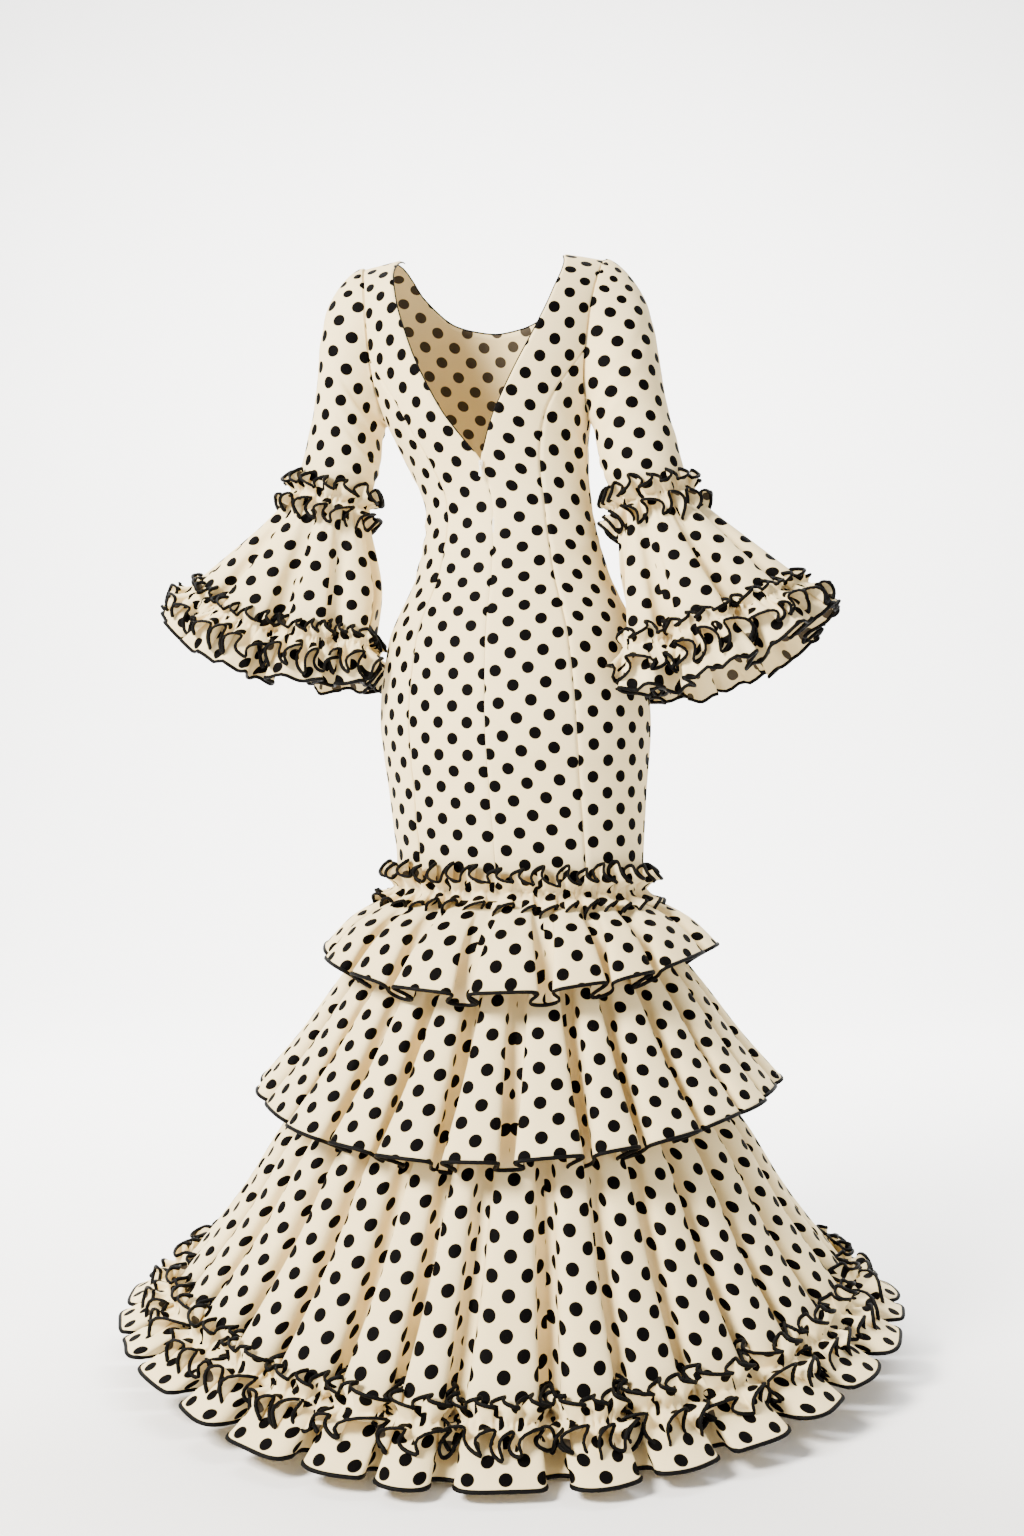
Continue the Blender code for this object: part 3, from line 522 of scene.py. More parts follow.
def binding(name, edge, inward, closed, sizes=BINDING):
    """Bias tape folded over an edge: an ellipse carried along it, wider than thick.

    The ellipse lies across the edge, its long axis into the cloth, so its outer side stands half
    a millimetre past the raw edge. Open ends taper to a point. On the neck edges the black tape is
    partly real black edging and partly painted shade, the shadow of the folded edge on the skin.
    """
    ahead = np.roll(edge, -1, axis=0) - np.roll(edge, 1, axis=0)
    taper = np.ones(len(edge))
    if not closed:
        ahead = np.gradient(edge, axis=0)
        taper[[0, -1]] = 0.05
        inward[[0, -1]] = inward[[1, -2]]
    ahead = unit(ahead)
    inward = unit(inward - (inward * ahead).sum(axis=-1, keepdims=True) * ahead)
    across = np.cross(ahead, inward)
    turn = FULL_TURN * np.arange(7) / 7
    wide, thin = sizes["width"] / 2, sizes["thickness"] / 2
    middle = edge + inward * (wide - 0.0005)
    ring = np.cos(turn)[None, :, None] * wide * inward[:, None]
    ring = ring + np.sin(turn)[None, :, None] * thin * across[:, None]
    points = middle[:, None] + ring * taper[:, None, None]
    points = points.transpose(1, 0, 2)
    points = np.concatenate([points, points[:1]])
    distance = np.concatenate([[0], np.cumsum(np.linalg.norm(np.diff(edge, axis=0), axis=-1))])
    uv = np.stack(np.broadcast_arrays(distance[None, :], 0.001 * np.arange(8)[:, None]), axis=-1)
    pair = (uv, np.roll(uv, -1, axis=1)) if closed else (uv[:, :-1], uv[:, 1:])
    ring = np.concatenate([ring.transpose(1, 0, 2), ring.transpose(1, 0, 2)[:1]])
    mesh = grid_mesh(name, points, pair, closed, ring)
    weld(mesh)
    return shown(name, mesh, BLACK_TAPE)


def weld(mesh):
    """Joins points that share a place, so that a carried profile closes on itself."""
    shape = bmesh.new()
    shape.from_mesh(mesh)
    bmesh.ops.remove_doubles(shape, verts=shape.verts, dist=1e-6)
    shape.to_mesh(mesh)
    shape.free()


# ---------------------------------------------------------------- folds


def flute_grid(flutes, samples, grown, deep, seed, turn_under):
    """Angles, inward depths and valley shares of organ-pipe flutes over a grid of rows and columns.

    A flute's phase runs from its valley, 0, over its crest, pi, to the next valley. The place
    along the ring is the phase's share, less a sine that widens the crest, plus a sine of twice
    the phase that steepens both flanks until they turn under the crest. The depth is a raised
    cosine. Each valley has its own depth and drift, each crest its own height, all of them drawn
    once from a seeded generator.
    """
    edges = fluted_edges(flutes)
    count = len(flutes)
    draw = np.random.default_rng(seed)
    depths = draw.uniform(0.72, 1.18, count)
    drifts = draw.uniform(-0.14, 0.14, count) / count
    swells = draw.uniform(-0.10, 0.10, count)
    which = np.repeat(np.arange(count), samples)
    share = np.tile(np.arange(samples) / samples, count)
    phase = FULL_TURN * share[None, :]
    width = np.diff(edges)[which][None, :]
    place = share[None, :] - CREST_WIDENING * grown * np.sin(phase)
    place = place + turn_under * grown * np.sin(2 * phase)
    following = (which + 1) % count
    drift = drifts[which] * (1 - share) + drifts[following] * share
    angle = FULL_TURN * (edges[which][None, :] + width * place + drift[None, :] * grown)
    depth = depths[which] * (1 - share) + depths[following] * share
    hollow = ((1 + np.cos(phase)) / 2) ** 1.25 * depth[None, :]
    swell = ((1 - np.cos(phase)) / 2) ** 2 * swells[which][None, :]
    return angle, deep * grown * (hollow - swell), grown**1.5 * hollow


def flute_cloth(points, samples, seed):
    """Cloth coordinates of a fluted grid: across each flute from its crest, and down the cloth.

    Across is the arc length along the row, so dots keep their size. Each flute's lattice starts
    at its own place, as the gores were cut.
    """
    rows, columns = points.shape[:2]
    steps = np.linalg.norm(np.roll(points, -1, axis=1) - points, axis=-1).reshape(rows, -1, samples)
    across = np.concatenate([np.zeros((rows, steps.shape[1], 1)), np.cumsum(steps, axis=2)], axis=2)
    across = across - across[:, :, samples // 2 : samples // 2 + 1]
    down = np.linalg.norm(np.diff(points, axis=0), axis=-1).mean(axis=1)
    down = np.concatenate([[0], np.cumsum(down)])
    draw = np.random.default_rng(seed)
    starts = draw.uniform(-0.25, 0.25, (2, steps.shape[1])) * DOT_CELL
    across = across + starts[0][None, :, None]
    along = down[:, None, None] + starts[1][None, :, None] + 0 * across
    uv = np.stack([across, along], axis=-1)
    left, right = uv[:, :, :-1], uv[:, :, 1:]
    return left.reshape(rows, columns, 2), right.reshape(rows, columns, 2)


def tier_piece(name, samples, rows):
    """Skirt tier: its crest line less the flutes, with small gathers that die out below its seam.

    The valleys hang lower than the crests, so that the turned-under flanks show as loops.
    """
    sizes = TIERS[name]
    seed = CLOTH_SEEDS[name]
    along = np.linspace(0, 1, rows)[:, None]
    grown = TIER_PROFILE[name].at("out", along) ** 0.75
    deep, hang, turn_under = TIER_FOLDS[name]
    angle, fold, valley = flute_grid(sizes["flutes"], samples, grown, deep, seed, turn_under)
    drop = along * (sizes["seam"] - sizes["hem"])
    waves = SEAM_GATHERS["per_flute"] * len(sizes["flutes"])
    gathers = SEAM_GATHERS["height"] * np.cos(angle * waves + np.sin(angle * 5))
    gathers = gathers * np.exp(-((drop / SEAM_GATHERS["fade"]) ** 2))
    outward = np.stack([np.sin(angle), np.cos(angle), 0 * angle], axis=-1)
    points = tier_plain(name, angle, along) - outward * (fold + gathers)[..., None]
    points[..., 2] -= hang * (valley - 0.4 * grown**1.5)
    edge = []
    if name != "lower":
        edge = [binding("tier_" + name + "_binding", points[-1], points[-2] - points[-1], True)]
    uv = flute_cloth(points, samples, seed + 1)
    cloth_piece("tier_" + name, points, uv, True, outward)


def bell_piece(name, side, samples, rows, seed):
    """Bell of a sleeve: fanned flutes from the elbow, a scalloped hem, all moved clear of the body."""
    along = np.linspace(0, 1, rows)[:, None]
    grown = along**0.85
    angle, fold, valley = flute_grid(BELL_FLUTES, samples, grown, BELL_FOLD, seed, BELL_TURN_UNDER)
    gathers = 0.0010 * np.cos(angle * 40) * np.exp(-((along / 0.18) ** 2))
    plain, outward = bell_plain(angle, along, side)
    outward = outward * np.array([side, 1.0, 1.0])
    first = BELL_SCALLOPS["from"]
    near_hem = np.clip((along - first) / (1 - first), 0, 1) ** 1.5
    scallop = near_hem * np.cos(angle * BELL_SCALLOPS["count"] + 1.7 * np.sin(angle * 4))
    folded = plain - outward * (fold + gathers + BELL_SCALLOPS["out"] * scallop)[..., None]
    folded[..., 2] -= BELL_HANG * (valley - 0.4 * grown**1.5) + BELL_SCALLOPS["down"] * scallop
    points = clear_of_body(folded)
    edge = [binding("bell_" + name + "_binding", points[-1], points[-2] - points[-1], True)]
    uv = flute_cloth(points, samples, seed + 1)
    cloth_piece("bell_" + name, points, uv, True, outward)


# ---------------------------------------------------------------- frills


def ring_of(at, above, outward):
    """Closed line that a frill is stitched along: points, normals and upward directions by arc length."""
    steps = np.linalg.norm(np.roll(at, -1, axis=0) - at, axis=-1)
    length = np.concatenate([[0], np.cumsum(steps)])
    up = unit(above - at)
    ahead = unit(np.roll(at, -3, axis=0) - np.roll(at, 3, axis=0))
    normal = np.cross(ahead, up)
    normal = normal * np.sign((normal * outward).sum(axis=-1).mean())
    return np.concatenate([at, unit(normal), up], axis=-1), length


def plain_ring(host, line, middle):
    """Ring on a smooth host, turned away from the point in its middle."""
    angle = FULL_TURN * np.arange(1440) / 1440
    at = host(angle, line)
    return ring_of(at, host(angle, line - 4e-3), at - middle)


def on_ring(ring, place):
    """Point, normal and upward direction of a ring at each arc length, going round for ever."""
    values, length = ring
    place = np.mod(place, length[-1])
    wrapped = np.concatenate([values, values[:1]])
    found = np.stack([np.interp(place, length, wrapped[:, i]) for i in range(9)], axis=-1)
    return found[..., :3], unit(found[..., 3:6]), unit(found[..., 6:])


def looped_strip(ring, waves, samples, reach, sizes, seed):
    """Gathered strip over a grid: rows at these signed reaches from the gathering line, columns round.

    Along the ring each wave is its share, plus a sine of twice its phase that loops the edge back
    over itself, plus a tilt of its own. Out from the host the cloth leans, and swings with the
    phase's cosine. Up the host it rises, and curls with the same cosine a little later, which
    draws the edge as open loops. Loops grow from nothing at the gathering line, where finer
    puckers take their place.
    """
    draw = np.random.default_rng(seed)
    widths = draw.uniform(0.62, 1.42, waves)
    edges = fluted_edges(widths) * ring[1][-1]
    swings = draw.uniform(0.60, 1.35, (2, waves))
    heights = draw.uniform(-0.12, 0.12, (2, waves))
    tilts = draw.uniform(-1, 1, (2, waves)) * sizes["tilt"]
    which = np.repeat(np.arange(waves), samples)
    following = (which + 1) % waves
    share = np.tile(np.arange(samples) / samples, waves)
    phase = FULL_TURN * share[None, :]
    reach = reach[:, None]
    far = np.abs(reach)
    upper = reach < 0
    grown = far**0.8
    loop = np.where(upper, sizes["loop_up"], sizes["loop_down"])
    place = share[None, :] + grown * (loop * np.sin(2 * phase) - 0.04 * np.sin(phase))

    def eased(values):
        """Values of each wave's two edges, running evenly from one wave to the next."""
        both = values[:, which] * (1 - share) + values[:, following] * share
        return np.where(upper, both[:1], both[1:])

    place = place + eased(tilts) * far**1.5
    place = edges[which][None, :] + np.diff(edges)[which][None, :] * place
    at, normal, up = on_ring(ring, place)

    swing = np.where(upper, sizes["swing_up"], sizes["swing_down"]) * eased(swings)
    rise = np.where(upper, sizes["rise"], -sizes["drop"]) * (1 + eased(heights) * far)
    lean = np.where(upper, sizes["out_up"], sizes["out_down"])
    out = FRILL_STAND_OFF + lean * far**1.2 - swing * grown * np.cos(phase)
    puckers = np.cos(3 * phase + 18 * eased(heights)) * np.exp(-((far / 0.22) ** 2))
    out = out + sizes["pucker"] * puckers
    curl = sizes["curl"] * np.where(upper, 1.0, LOWER_CURL) * grown**2 * eased(swings)
    climb = rise * far + np.sign(rise) * curl * np.cos(phase + CURL_LAG)
    points = at + normal * out[..., None] + up * climb[..., None]
    return points, normal


def strip_cloth(points, down):
    """Cloth coordinates of a gathered strip: arc length of its longest row, and the way down it."""
    steps = np.linalg.norm(np.roll(points, -1, axis=1) - points, axis=-1)
    steps = steps[np.argmax(steps.sum(axis=1))]
    across = np.concatenate([[0], np.cumsum(steps)])
    uv = np.stack(np.broadcast_arrays(across[None, :], down[:, None]), axis=-1)
    return uv[:, :-1], uv[:, 1:]


def frill_piece(node, ring, waves, samples, rows, kind, seed):
    """Double frill: one strip gathered down its middle, both long edges bound in black."""
    reach = np.linspace(-1, 1, rows)
    sizes = dict(zip(FRILL_SIZES, FRILLS[kind]))
    points, normal = looped_strip(ring, waves, samples, reach, sizes, seed)
    upper = binding(node + "_upper_binding", points[0], points[1] - points[0], True)
    lower = binding(node + "_lower_binding", points[-1], points[-2] - points[-1], True)
    uv = flute_cloth(points, samples, seed + 1)
    cloth_piece(node, points, uv, True, normal)


def hem_flounce_piece(samples, rows):
    """Gathered strip from under the hem frill down to the floor, bound along its lower edge.

    It carries on the lower tier's flutes. Gathers a few to a flute start at its seam and die out
    downwards, and a slower ripple of the same kind is left at the hem.
    """
    flutes = TIERS["lower"]["flutes"]
    along = np.linspace(0, 1, rows)[:, None]
    deep, _, turn_under = TIER_FOLDS["lower"]
    turn_under = turn_under + 0.012 * along
    lower_seed = CLOTH_SEEDS["lower"]
    angle, fold, valley = flute_grid(flutes, samples, 1.0 + 0 * along, deep, lower_seed, turn_under)
    draw = np.random.default_rng(CLOTH_SEEDS["hem_flounce"])
    count = len(flutes)
    rate = draw.uniform(2.6, 4.4, count)
    shift = draw.uniform(0, FULL_TURN, count)
    which = np.repeat(np.arange(count), samples)
    phase = FULL_TURN * np.tile(np.arange(samples) / samples, count)[None, :]
    blend = (1 - np.cos(phase)) / 2
    ripple = np.cos(rate[which][None, :] * phase + shift[which][None, :]) * blend
    finer = np.cos(2.3 * rate[which][None, :] * phase + 2 * shift[which][None, :]) * blend
    gathers = 0.0042 * ripple * (0.35 + 0.65 * np.exp(-((along / 0.6) ** 2)))
    gathers = gathers + 0.0016 * finer * np.exp(-((along / 0.4) ** 2))
    outward = np.stack([np.sin(angle), np.cos(angle), 0 * angle], axis=-1)
    points = flounce_plain(angle, along) - outward * (fold + gathers + 0.004)[..., None]
    points[..., 2] += 0.010 * along * (1 - valley / valley.max())
    edge = binding("hem_flounce_binding", points[-1], points[-2] - points[-1], True)
    down = np.linalg.norm(np.diff(points, axis=0), axis=-1).mean(axis=1)
    down = np.concatenate([[0], np.cumsum(down)])
    uv = strip_cloth(points, down)
    cloth_piece("hem_flounce", points, uv, True, outward)


def hem_ring():
    """The line of the hem frill: the lower tier's own flutes, a little shallower."""
    deep, _, _ = TIER_FOLDS["lower"]
    line = np.array([[HEM_LINE], [HEM_LINE - 0.02]])
    flutes, seed = TIERS["lower"]["flutes"], CLOTH_SEEDS["lower"]
    angle, fold, _ = flute_grid(flutes, 48, 1.0 + 0 * line, deep * 0.85, seed, FRILL_TURN_UNDER)
    outward = np.stack([np.sin(angle), np.cos(angle), 0 * angle], axis=-1)
    points = tier_plain("lower", angle, line) - outward * fold[..., None]
    return ring_of(points[0], points[1], outward[0])


def knee_host(angle, down):
    """Point of the body at the knee frill's line, or this far below it."""
    return torso(angle, KNEE_LINE - down)


def cuff_ring(side, seed):
    """The line of a cuff frill: the bell's own flutes, a little shallower."""
    line = np.array([[CUFF_LINE], [CUFF_LINE - 0.03]])
    angle, fold, _ = flute_grid(
        BELL_FLUTES, 120, line**0.85, BELL_FOLD * 0.8, seed, FRILL_TURN_UNDER
    )
    line = line - CUFF_BACK_RISE * np.clip(np.sin(angle), 0, 1)
    plain, outward = bell_plain(angle, line, side)
    outward = outward * np.array([side, 1.0, 1.0])
    points = clear_of_body(plain - outward * fold[..., None])
    return ring_of(points[0], points[1], outward[0])


# ---------------------------------------------------------------- fitted body and sleeves

BODY_CREASES = Table(
    "angle level length width lean height",
    # drag lines over the back of the waist, deepest at the two sides
    (-1.30, 1.075, 0.070, 0.0060, 0.20, 0.0022),
    (-1.05, 1.045, 0.060, 0.0065, -0.15, 0.0017),
    (-1.20, 1.010, 0.050, 0.0070, 0.30, 0.0016),
    (-0.62, 1.088, 0.055, 0.0060, 0.35, 0.0014),
    (-0.30, 1.030, 0.045, 0.0070, -0.25, 0.0011),
    (0.28, 1.060, 0.050, 0.0065, 0.22, 0.0012),
    (0.55, 1.098, 0.055, 0.0060, -0.30, 0.0015),
    (0.95, 1.050, 0.065, 0.0065, 0.15, 0.0019),
    (1.25, 1.085, 0.070, 0.0060, -0.20, 0.0023),
    (1.40, 1.020, 0.050, 0.0075, -0.35, 0.0017),
    # below both arms, running down from the armhole
    (-1.35, 1.175, 0.050, 0.0075, 0.95, 0.0024),
    (-1.05, 1.205, 0.060, 0.0080, 0.80, 0.0020),
    (1.15, 1.190, 0.060, 0.0080, -0.85, 0.0022),
    (1.45, 1.165, 0.050, 0.0070, -0.95, 0.0020),
    # across the seat and above the knee
    (-0.70, 0.775, 0.070, 0.0120, 0.10, 0.0014),
    (0.45, 0.760, 0.075, 0.0130, -0.12, 0.0013),
    (-0.95, 0.690, 0.055, 0.0110, 0.22, 0.0013),
    (0.85, 0.680, 0.060, 0.0120, -0.18, 0.0014),
    (0.10, 0.655, 0.050, 0.0110, 0.08, 0.0010),
    # the front, which the wearer's figure pulls the same way
    (1.85, 1.070, 0.060, 0.0065, 0.20, 0.0019),
    (2.25, 1.045, 0.055, 0.0070, -0.25, 0.0015),
    (2.90, 1.060, 0.050, 0.0070, 0.15, 0.0012),
    (-1.90, 1.085, 0.060, 0.0065, -0.20, 0.0018),
    (-2.40, 1.040, 0.055, 0.0070, 0.25, 0.0016),
    (-2.95, 1.020, 0.050, 0.0075, -0.10, 0.0011),
    (2.05, 1.200, 0.055, 0.0085, 0.80, 0.0020),
    (-2.05, 1.195, 0.055, 0.0085, -0.80, 0.0021),
    (2.60, 0.745, 0.070, 0.0130, 0.12, 0.0013),
    (-2.65, 0.700, 0.065, 0.0120, -0.10, 0.0013),
)
SLEEVE_CREASES = Table(
    "angle along length width lean height",
    (0.35, 0.20, 0.060, 0.0080, 0.70, 0.0026),
    (-0.35, 0.24, 0.060, 0.0085, -0.65, 0.0024),
    (0.95, 0.33, 0.055, 0.0080, 0.55, 0.0018),
    (-1.10, 0.36, 0.055, 0.0080, -0.50, 0.0019),
    (1.70, 0.52, 0.050, 0.0090, 0.35, 0.0014),
    (-1.80, 0.60, 0.050, 0.0090, -0.30, 0.0014),
    (0.60, 0.62, 0.050, 0.0075, -0.25, 0.0018),
    (-0.70, 0.70, 0.050, 0.0080, 0.28, 0.0017),
    (2.60, 0.42, 0.050, 0.0090, -0.20, 0.0012),
    (-2.70, 0.76, 0.050, 0.0085, 0.22, 0.0013),
    (1.20, 0.82, 0.050, 0.0080, 0.40, 0.0016),
    (-1.30, 0.88, 0.045, 0.0075, -0.35, 0.0016),
)
SLEEVE_HEAD_PUCKERS = 0.0013
SLEEVE_ALLOWANCE = 0.006  # the seam allowance turns this far in through the armhole
SEAM_GROOVE = {"depth": 0.0024, "over_zip": 0.0012, "width": 0.0026}


def creases(table, angle, level, radius, scale):
    """Height of soft ridges with a trough beside each: Gaussian bands in the cloth's own plane.

    Along a band the height fades over its length. Across it, a ridge one width wide is followed
    by a hollow half as high. The band leans by its own angle.
    """
    height = 0.0
    for middle, at, length, width, lean, size in table.rows:
        turn = np.mod(angle - middle + math.pi, FULL_TURN) - math.pi
        across, up = turn * radius, (level - at) * scale
        along = across * math.cos(lean) + up * math.sin(lean)
        off = up * math.cos(lean) - across * math.sin(lean)
        band = np.exp(-((off / width) ** 2)) - 0.5 * np.exp(-(((off + 1.7 * width) / width) ** 2))
        height = height + size * band * np.exp(-((along / length) ** 2))
    return height


def back_neck_angle(level):
    """Angle of the centre backs' inner edge: the centre back seam, then the open back's neckline."""
    half = np.arcsin(np.clip(neck_half_width(level), 0, 1))
    return np.where(level > NECK_FOOT, half, 0.0)


def neck_half_width(level):
    """Half width of the back neckline as a share of the body's own."""
    height = height_of(level)
    return BACK_NECK.at("half_width", np.maximum(height, NECK_FOOT)) / BODY.at("half_width", height)


def body_normals(angle, level):
    """Normals of the body, taken a little below the shoulder line where back and front meet."""
    return normals_of(torso, angle, np.minimum(level, SHOULDER - 2e-3))


def grooved(points, normal, angle, level, low, high):
    """Body points raised by the creases and drawn in along the seams at both edge angles."""
    radius = BODY.at("half_width", level)
    near = np.minimum((angle - low) * radius, (high - angle) * radius)
    on_zip = np.exp(-(((angle * radius) / 0.02) ** 2))
    depth = SEAM_GROOVE["depth"] + (SEAM_GROOVE["over_zip"] - SEAM_GROOVE["depth"]) * on_zip
    groove = depth * np.exp(-((np.maximum(near, 0) / SEAM_GROOVE["width"]) ** 2))
    return points + normal * (creases_of_body(angle, level) - groove)[..., None]


def creases_of_body(angle, level):
    """Height of the body's creases; 0.12 is its mean radius."""
    return creases(BODY_CREASES, angle, level, 0.12, 1.0)


def panel_levels(top):
    """Rows of a panel, from its foot to its top, closer together where the shoulder closes."""
    low = np.linspace(PANEL_FOOT + PANEL_HEM_COVERED, CLOSING, 120)
    high = CLOSING + (SHOULDER - CLOSING) * np.linspace(0, 1, 26)[1:]
    levels = np.concatenate([low, high])
    return levels[levels <= top + 1e-6] if top < SHOULDER else levels


def girth(angle, level, start):
    """Length round the body at one level, from an angle to another."""
    part = np.linspace(0, 1, 33)[:, None, None]
    way = torso(start + (angle - start) * part, level)
    return np.linalg.norm(np.diff(way, axis=0), axis=-1).sum(axis=0) * np.sign(angle - start)


def panel_cloth(angle, level, start, lean, shift):
    """Cloth coordinates of a panel: the length round the body from a line, and the length up it."""
    angle, level = np.broadcast_arrays(angle, level)
    across = girth(angle, level, start)
    scale = np.linspace(PANEL_FOOT, SHOULDER, 300)
    line = torso(start + 0.5 * np.sign(np.sin(start + 1e-9)), scale)
    length = np.concatenate([[0], np.cumsum(np.linalg.norm(np.diff(line, axis=0), axis=-1))])
    up = np.interp(level, scale, length)
    u = across * math.cos(lean) + up * math.sin(lean) + shift[0]
    v = up * math.cos(lean) - across * math.sin(lean) + shift[1]
    uv = np.stack([u, v], axis=-1)
    return uv[:, :-1], uv[:, 1:]


def body_panel(inner, outer, levels, columns, front, sign, lean, shift):
    """Panel of the body between two edge angles, met edge to edge with its neighbours."""
    level = levels[:, None]
    low, high = inner(levels)[:, None], outer(levels)[:, None]
    share = (1 - np.cos(np.linspace(0, math.pi, columns + 1))) / 2
    share = 0.5 * share + 0.5 * np.linspace(0, 1, columns + 1)
    half = low + (high - low) * share[None, :]
    angle = sign * (math.pi - half if front else half)
    normal = body_normals(angle, level)
    flip = 1 if (normal[..., 1] * np.cos(angle)).sum() > 0 else -1
    edges = (angle - (half - low), angle + (high - half))
    points = grooved(torso(angle, level), flip * normal, angle, level + 0 * angle, *edges)
    start = sign * (math.pi - 0.9 if front else (0.0 if inner is back_neck_angle else 0.9))
    uv = panel_cloth(angle, level, start, lean, shift)
    return points, flip * normal, uv


def body_pieces():
    """Centre backs, side backs, side fronts and the front, all met edge to edge."""
    full, side_rows = panel_levels(SHOULDER), panel_levels(ARMHOLE_DARTS)
    for name, side in SIDES:
        lean = CENTRE_LEAN[side]
        points, normal, uv = body_panel(
            back_neck_angle, outer_angle, full, 40, False, side, lean, (0.004, 0.0)
        )
        neck = np.searchsorted(full, NECK_FOOT - 1e-6)
        edge = points[neck:, 0]
        # black tape on the open back's edge: partly real black edging, partly painted shade of the folded
        # edge on the skin
        trim = binding("back_neck_tape_and_shade_" + name, edge, points[neck:, 1] - edge, False, NECK_TAPE_AND_SHADE)
        cloth_piece("back_centre_" + name, points, uv, False, normal)
        for node, front in (("back_side_", False), ("front_side_", True)):
            points, normal, uv = body_panel(
                outer_angle, side_angle, side_rows, 30, front, side, 0.02 * side, (0.013, 0.009)
            )
            cloth_piece(node + name, points, uv, False, normal)
    front_piece()


def front_piece():
    """Front panel between the princess seams; each column ends on the neckline or the shoulder."""
    shares = np.linspace(-1, 1, 97)[None, :]
    rows = np.linspace(0, 1, 150)[:, None]
    foot = PANEL_FOOT + PANEL_HEM_COVERED
    level = foot + rows * (FRONT_NECK.at("top", np.hypot(shares, 0.07)) - foot)
    high = outer_angle(level)
    angle = math.pi + shares * high
    normal = body_normals(angle, level)
    flip = 1 if (normal[..., 1] * np.cos(angle)).sum() > 0 else -1
    normal = flip * normal
    points = grooved(torso(angle, level), normal, angle, level, math.pi - high, math.pi + high)
    top = points[-1]
    inside = np.abs(shares[0]) < SCOOP_SHARE
    inward = (points[-2] - points[-1])[inside]
    # black tape on the front neckline: partly real black edging, partly painted shade of the folded edge
    # on the skin
    trim = binding("front_neck_tape_and_shade", top[inside], inward, False, NECK_TAPE_AND_SHADE)
    uv = panel_cloth(angle, level, math.pi, 0.0, (0.0, 0.006))
    cloth_piece("front_centre", points, uv, False, normal)


def sleeve_pieces():
    """Sleeves: the armhole's curve fading into the arm's rings, puckered at the head, creased."""
    angle = FULL_TURN * np.linspace(0, 1, 121)[None, :-1]
    along = np.linspace(0, 1, 96)[:, None]
    for name, side in SIDES:
        surface = partial(sleeve, side=side)
        points = surface(angle, along)
        normal = normals_of(surface, angle, np.clip(along, 1e-3, 1 - 1e-3))
        centre = points.mean(axis=1, keepdims=True)
        normal = normal if ((points - centre) * normal).sum() > 0 else -normal
        head = np.exp(-((along / 0.09) ** 2)) * np.clip(-np.cos(angle), 0, 1)
        rise = creases(SLEEVE_CREASES, angle, along, 0.05, 0.25)
        rise = rise + SLEEVE_HEAD_PUCKERS * head * (1.3 + np.cos(angle * 38 + 2 * np.sin(angle * 7)))
        rise = rise - SEAM_GROOVE["depth"] * np.exp(-((along / 0.012) ** 2))
        points = points + normal * rise[..., None]
        points[0, :, 0] -= side * SLEEVE_ALLOWANCE
        uv = sleeve_cloth(points, angle, side)
        cloth_piece("sleeve_" + name, points, (uv[:, :-1], uv[:, 1:]), True, normal)


def sleeve_cloth(points, angle, side):
    """Cloth coordinates of a sleeve, as cut flat: round the arm's axis and down it.

    Round is the turn about the axis times the sleeve's usual radius, from the underarm seam.
    Down is the way along the axis, less what the sleeve head closes in above that radius.
    """
    foot = points[-1].mean(axis=0)
    head = points[30].mean(axis=0)
    axis = unit(foot - head)
    rest = points - head
    down = (rest * axis).sum(axis=-1)
    flat = rest - down[..., None] * axis
    inward = unit(np.array([-side, 0, 0]) - axis * (-side * axis[0]))
    backward = np.cross(axis, inward) * side
    turn = np.arctan2((flat * backward).sum(axis=-1), (flat * inward).sum(axis=-1))
    if (np.diff(np.unwrap(turn[-1])).sum()) < 0:
        turn = -turn
    turn = angle + np.mod(turn - angle + math.pi, FULL_TURN) - math.pi
    radius = np.linalg.norm(flat, axis=-1)
    down = down - np.clip(SLEEVE_RADIUS - radius, 0, None) * (down < 0)
    turn = np.concatenate([turn, turn[:, :1] + FULL_TURN], axis=1)
    down = np.concatenate([down, down[:, :1]], axis=1)
    return np.stack([turn * SLEEVE_RADIUS + 0.01, down + 0.004], axis=-1)


# ---------------------------------------------------------------- materials


def colour(text):
    """Linear colour of an sRGB hex value."""
    parts = [int(text[i : i + 2], 16) / 255 for i in (1, 3, 5)]
    return [p / 12.92 if p <= 0.04045 else ((p + 0.055) / 1.055) ** 2.4 for p in parts] + [1.0]


def node(tree, kind, inputs=(), **settings):
    """Node of a tree with its settings, its input values and the sockets that feed its inputs."""
    made = tree.nodes.new(kind)
    for name, value in settings.items():
        setattr(made, name, value)
    for key, value in dict(inputs).items():
        if isinstance(value, bpy.types.NodeSocket):
            tree.links.new(value, made.inputs[key])
        else:
            made.inputs[key].default_value = value
    return made


def bare_material(name):
    """New material, its node tree and the shader in it."""
    made = bpy.data.materials.new(name)
    made.use_nodes = True
    return made, made.node_tree, made.node_tree.nodes["Principled BSDF"]


def wired(tree, shader, sources):
    """Puts each source on the shader's socket of that name: a link from a socket, or a value."""
    for name, source in sources.items():
        if isinstance(source, bpy.types.NodeSocket):
            tree.links.new(source, shader.inputs[name])
        else:
            shader.inputs[name].default_value = source


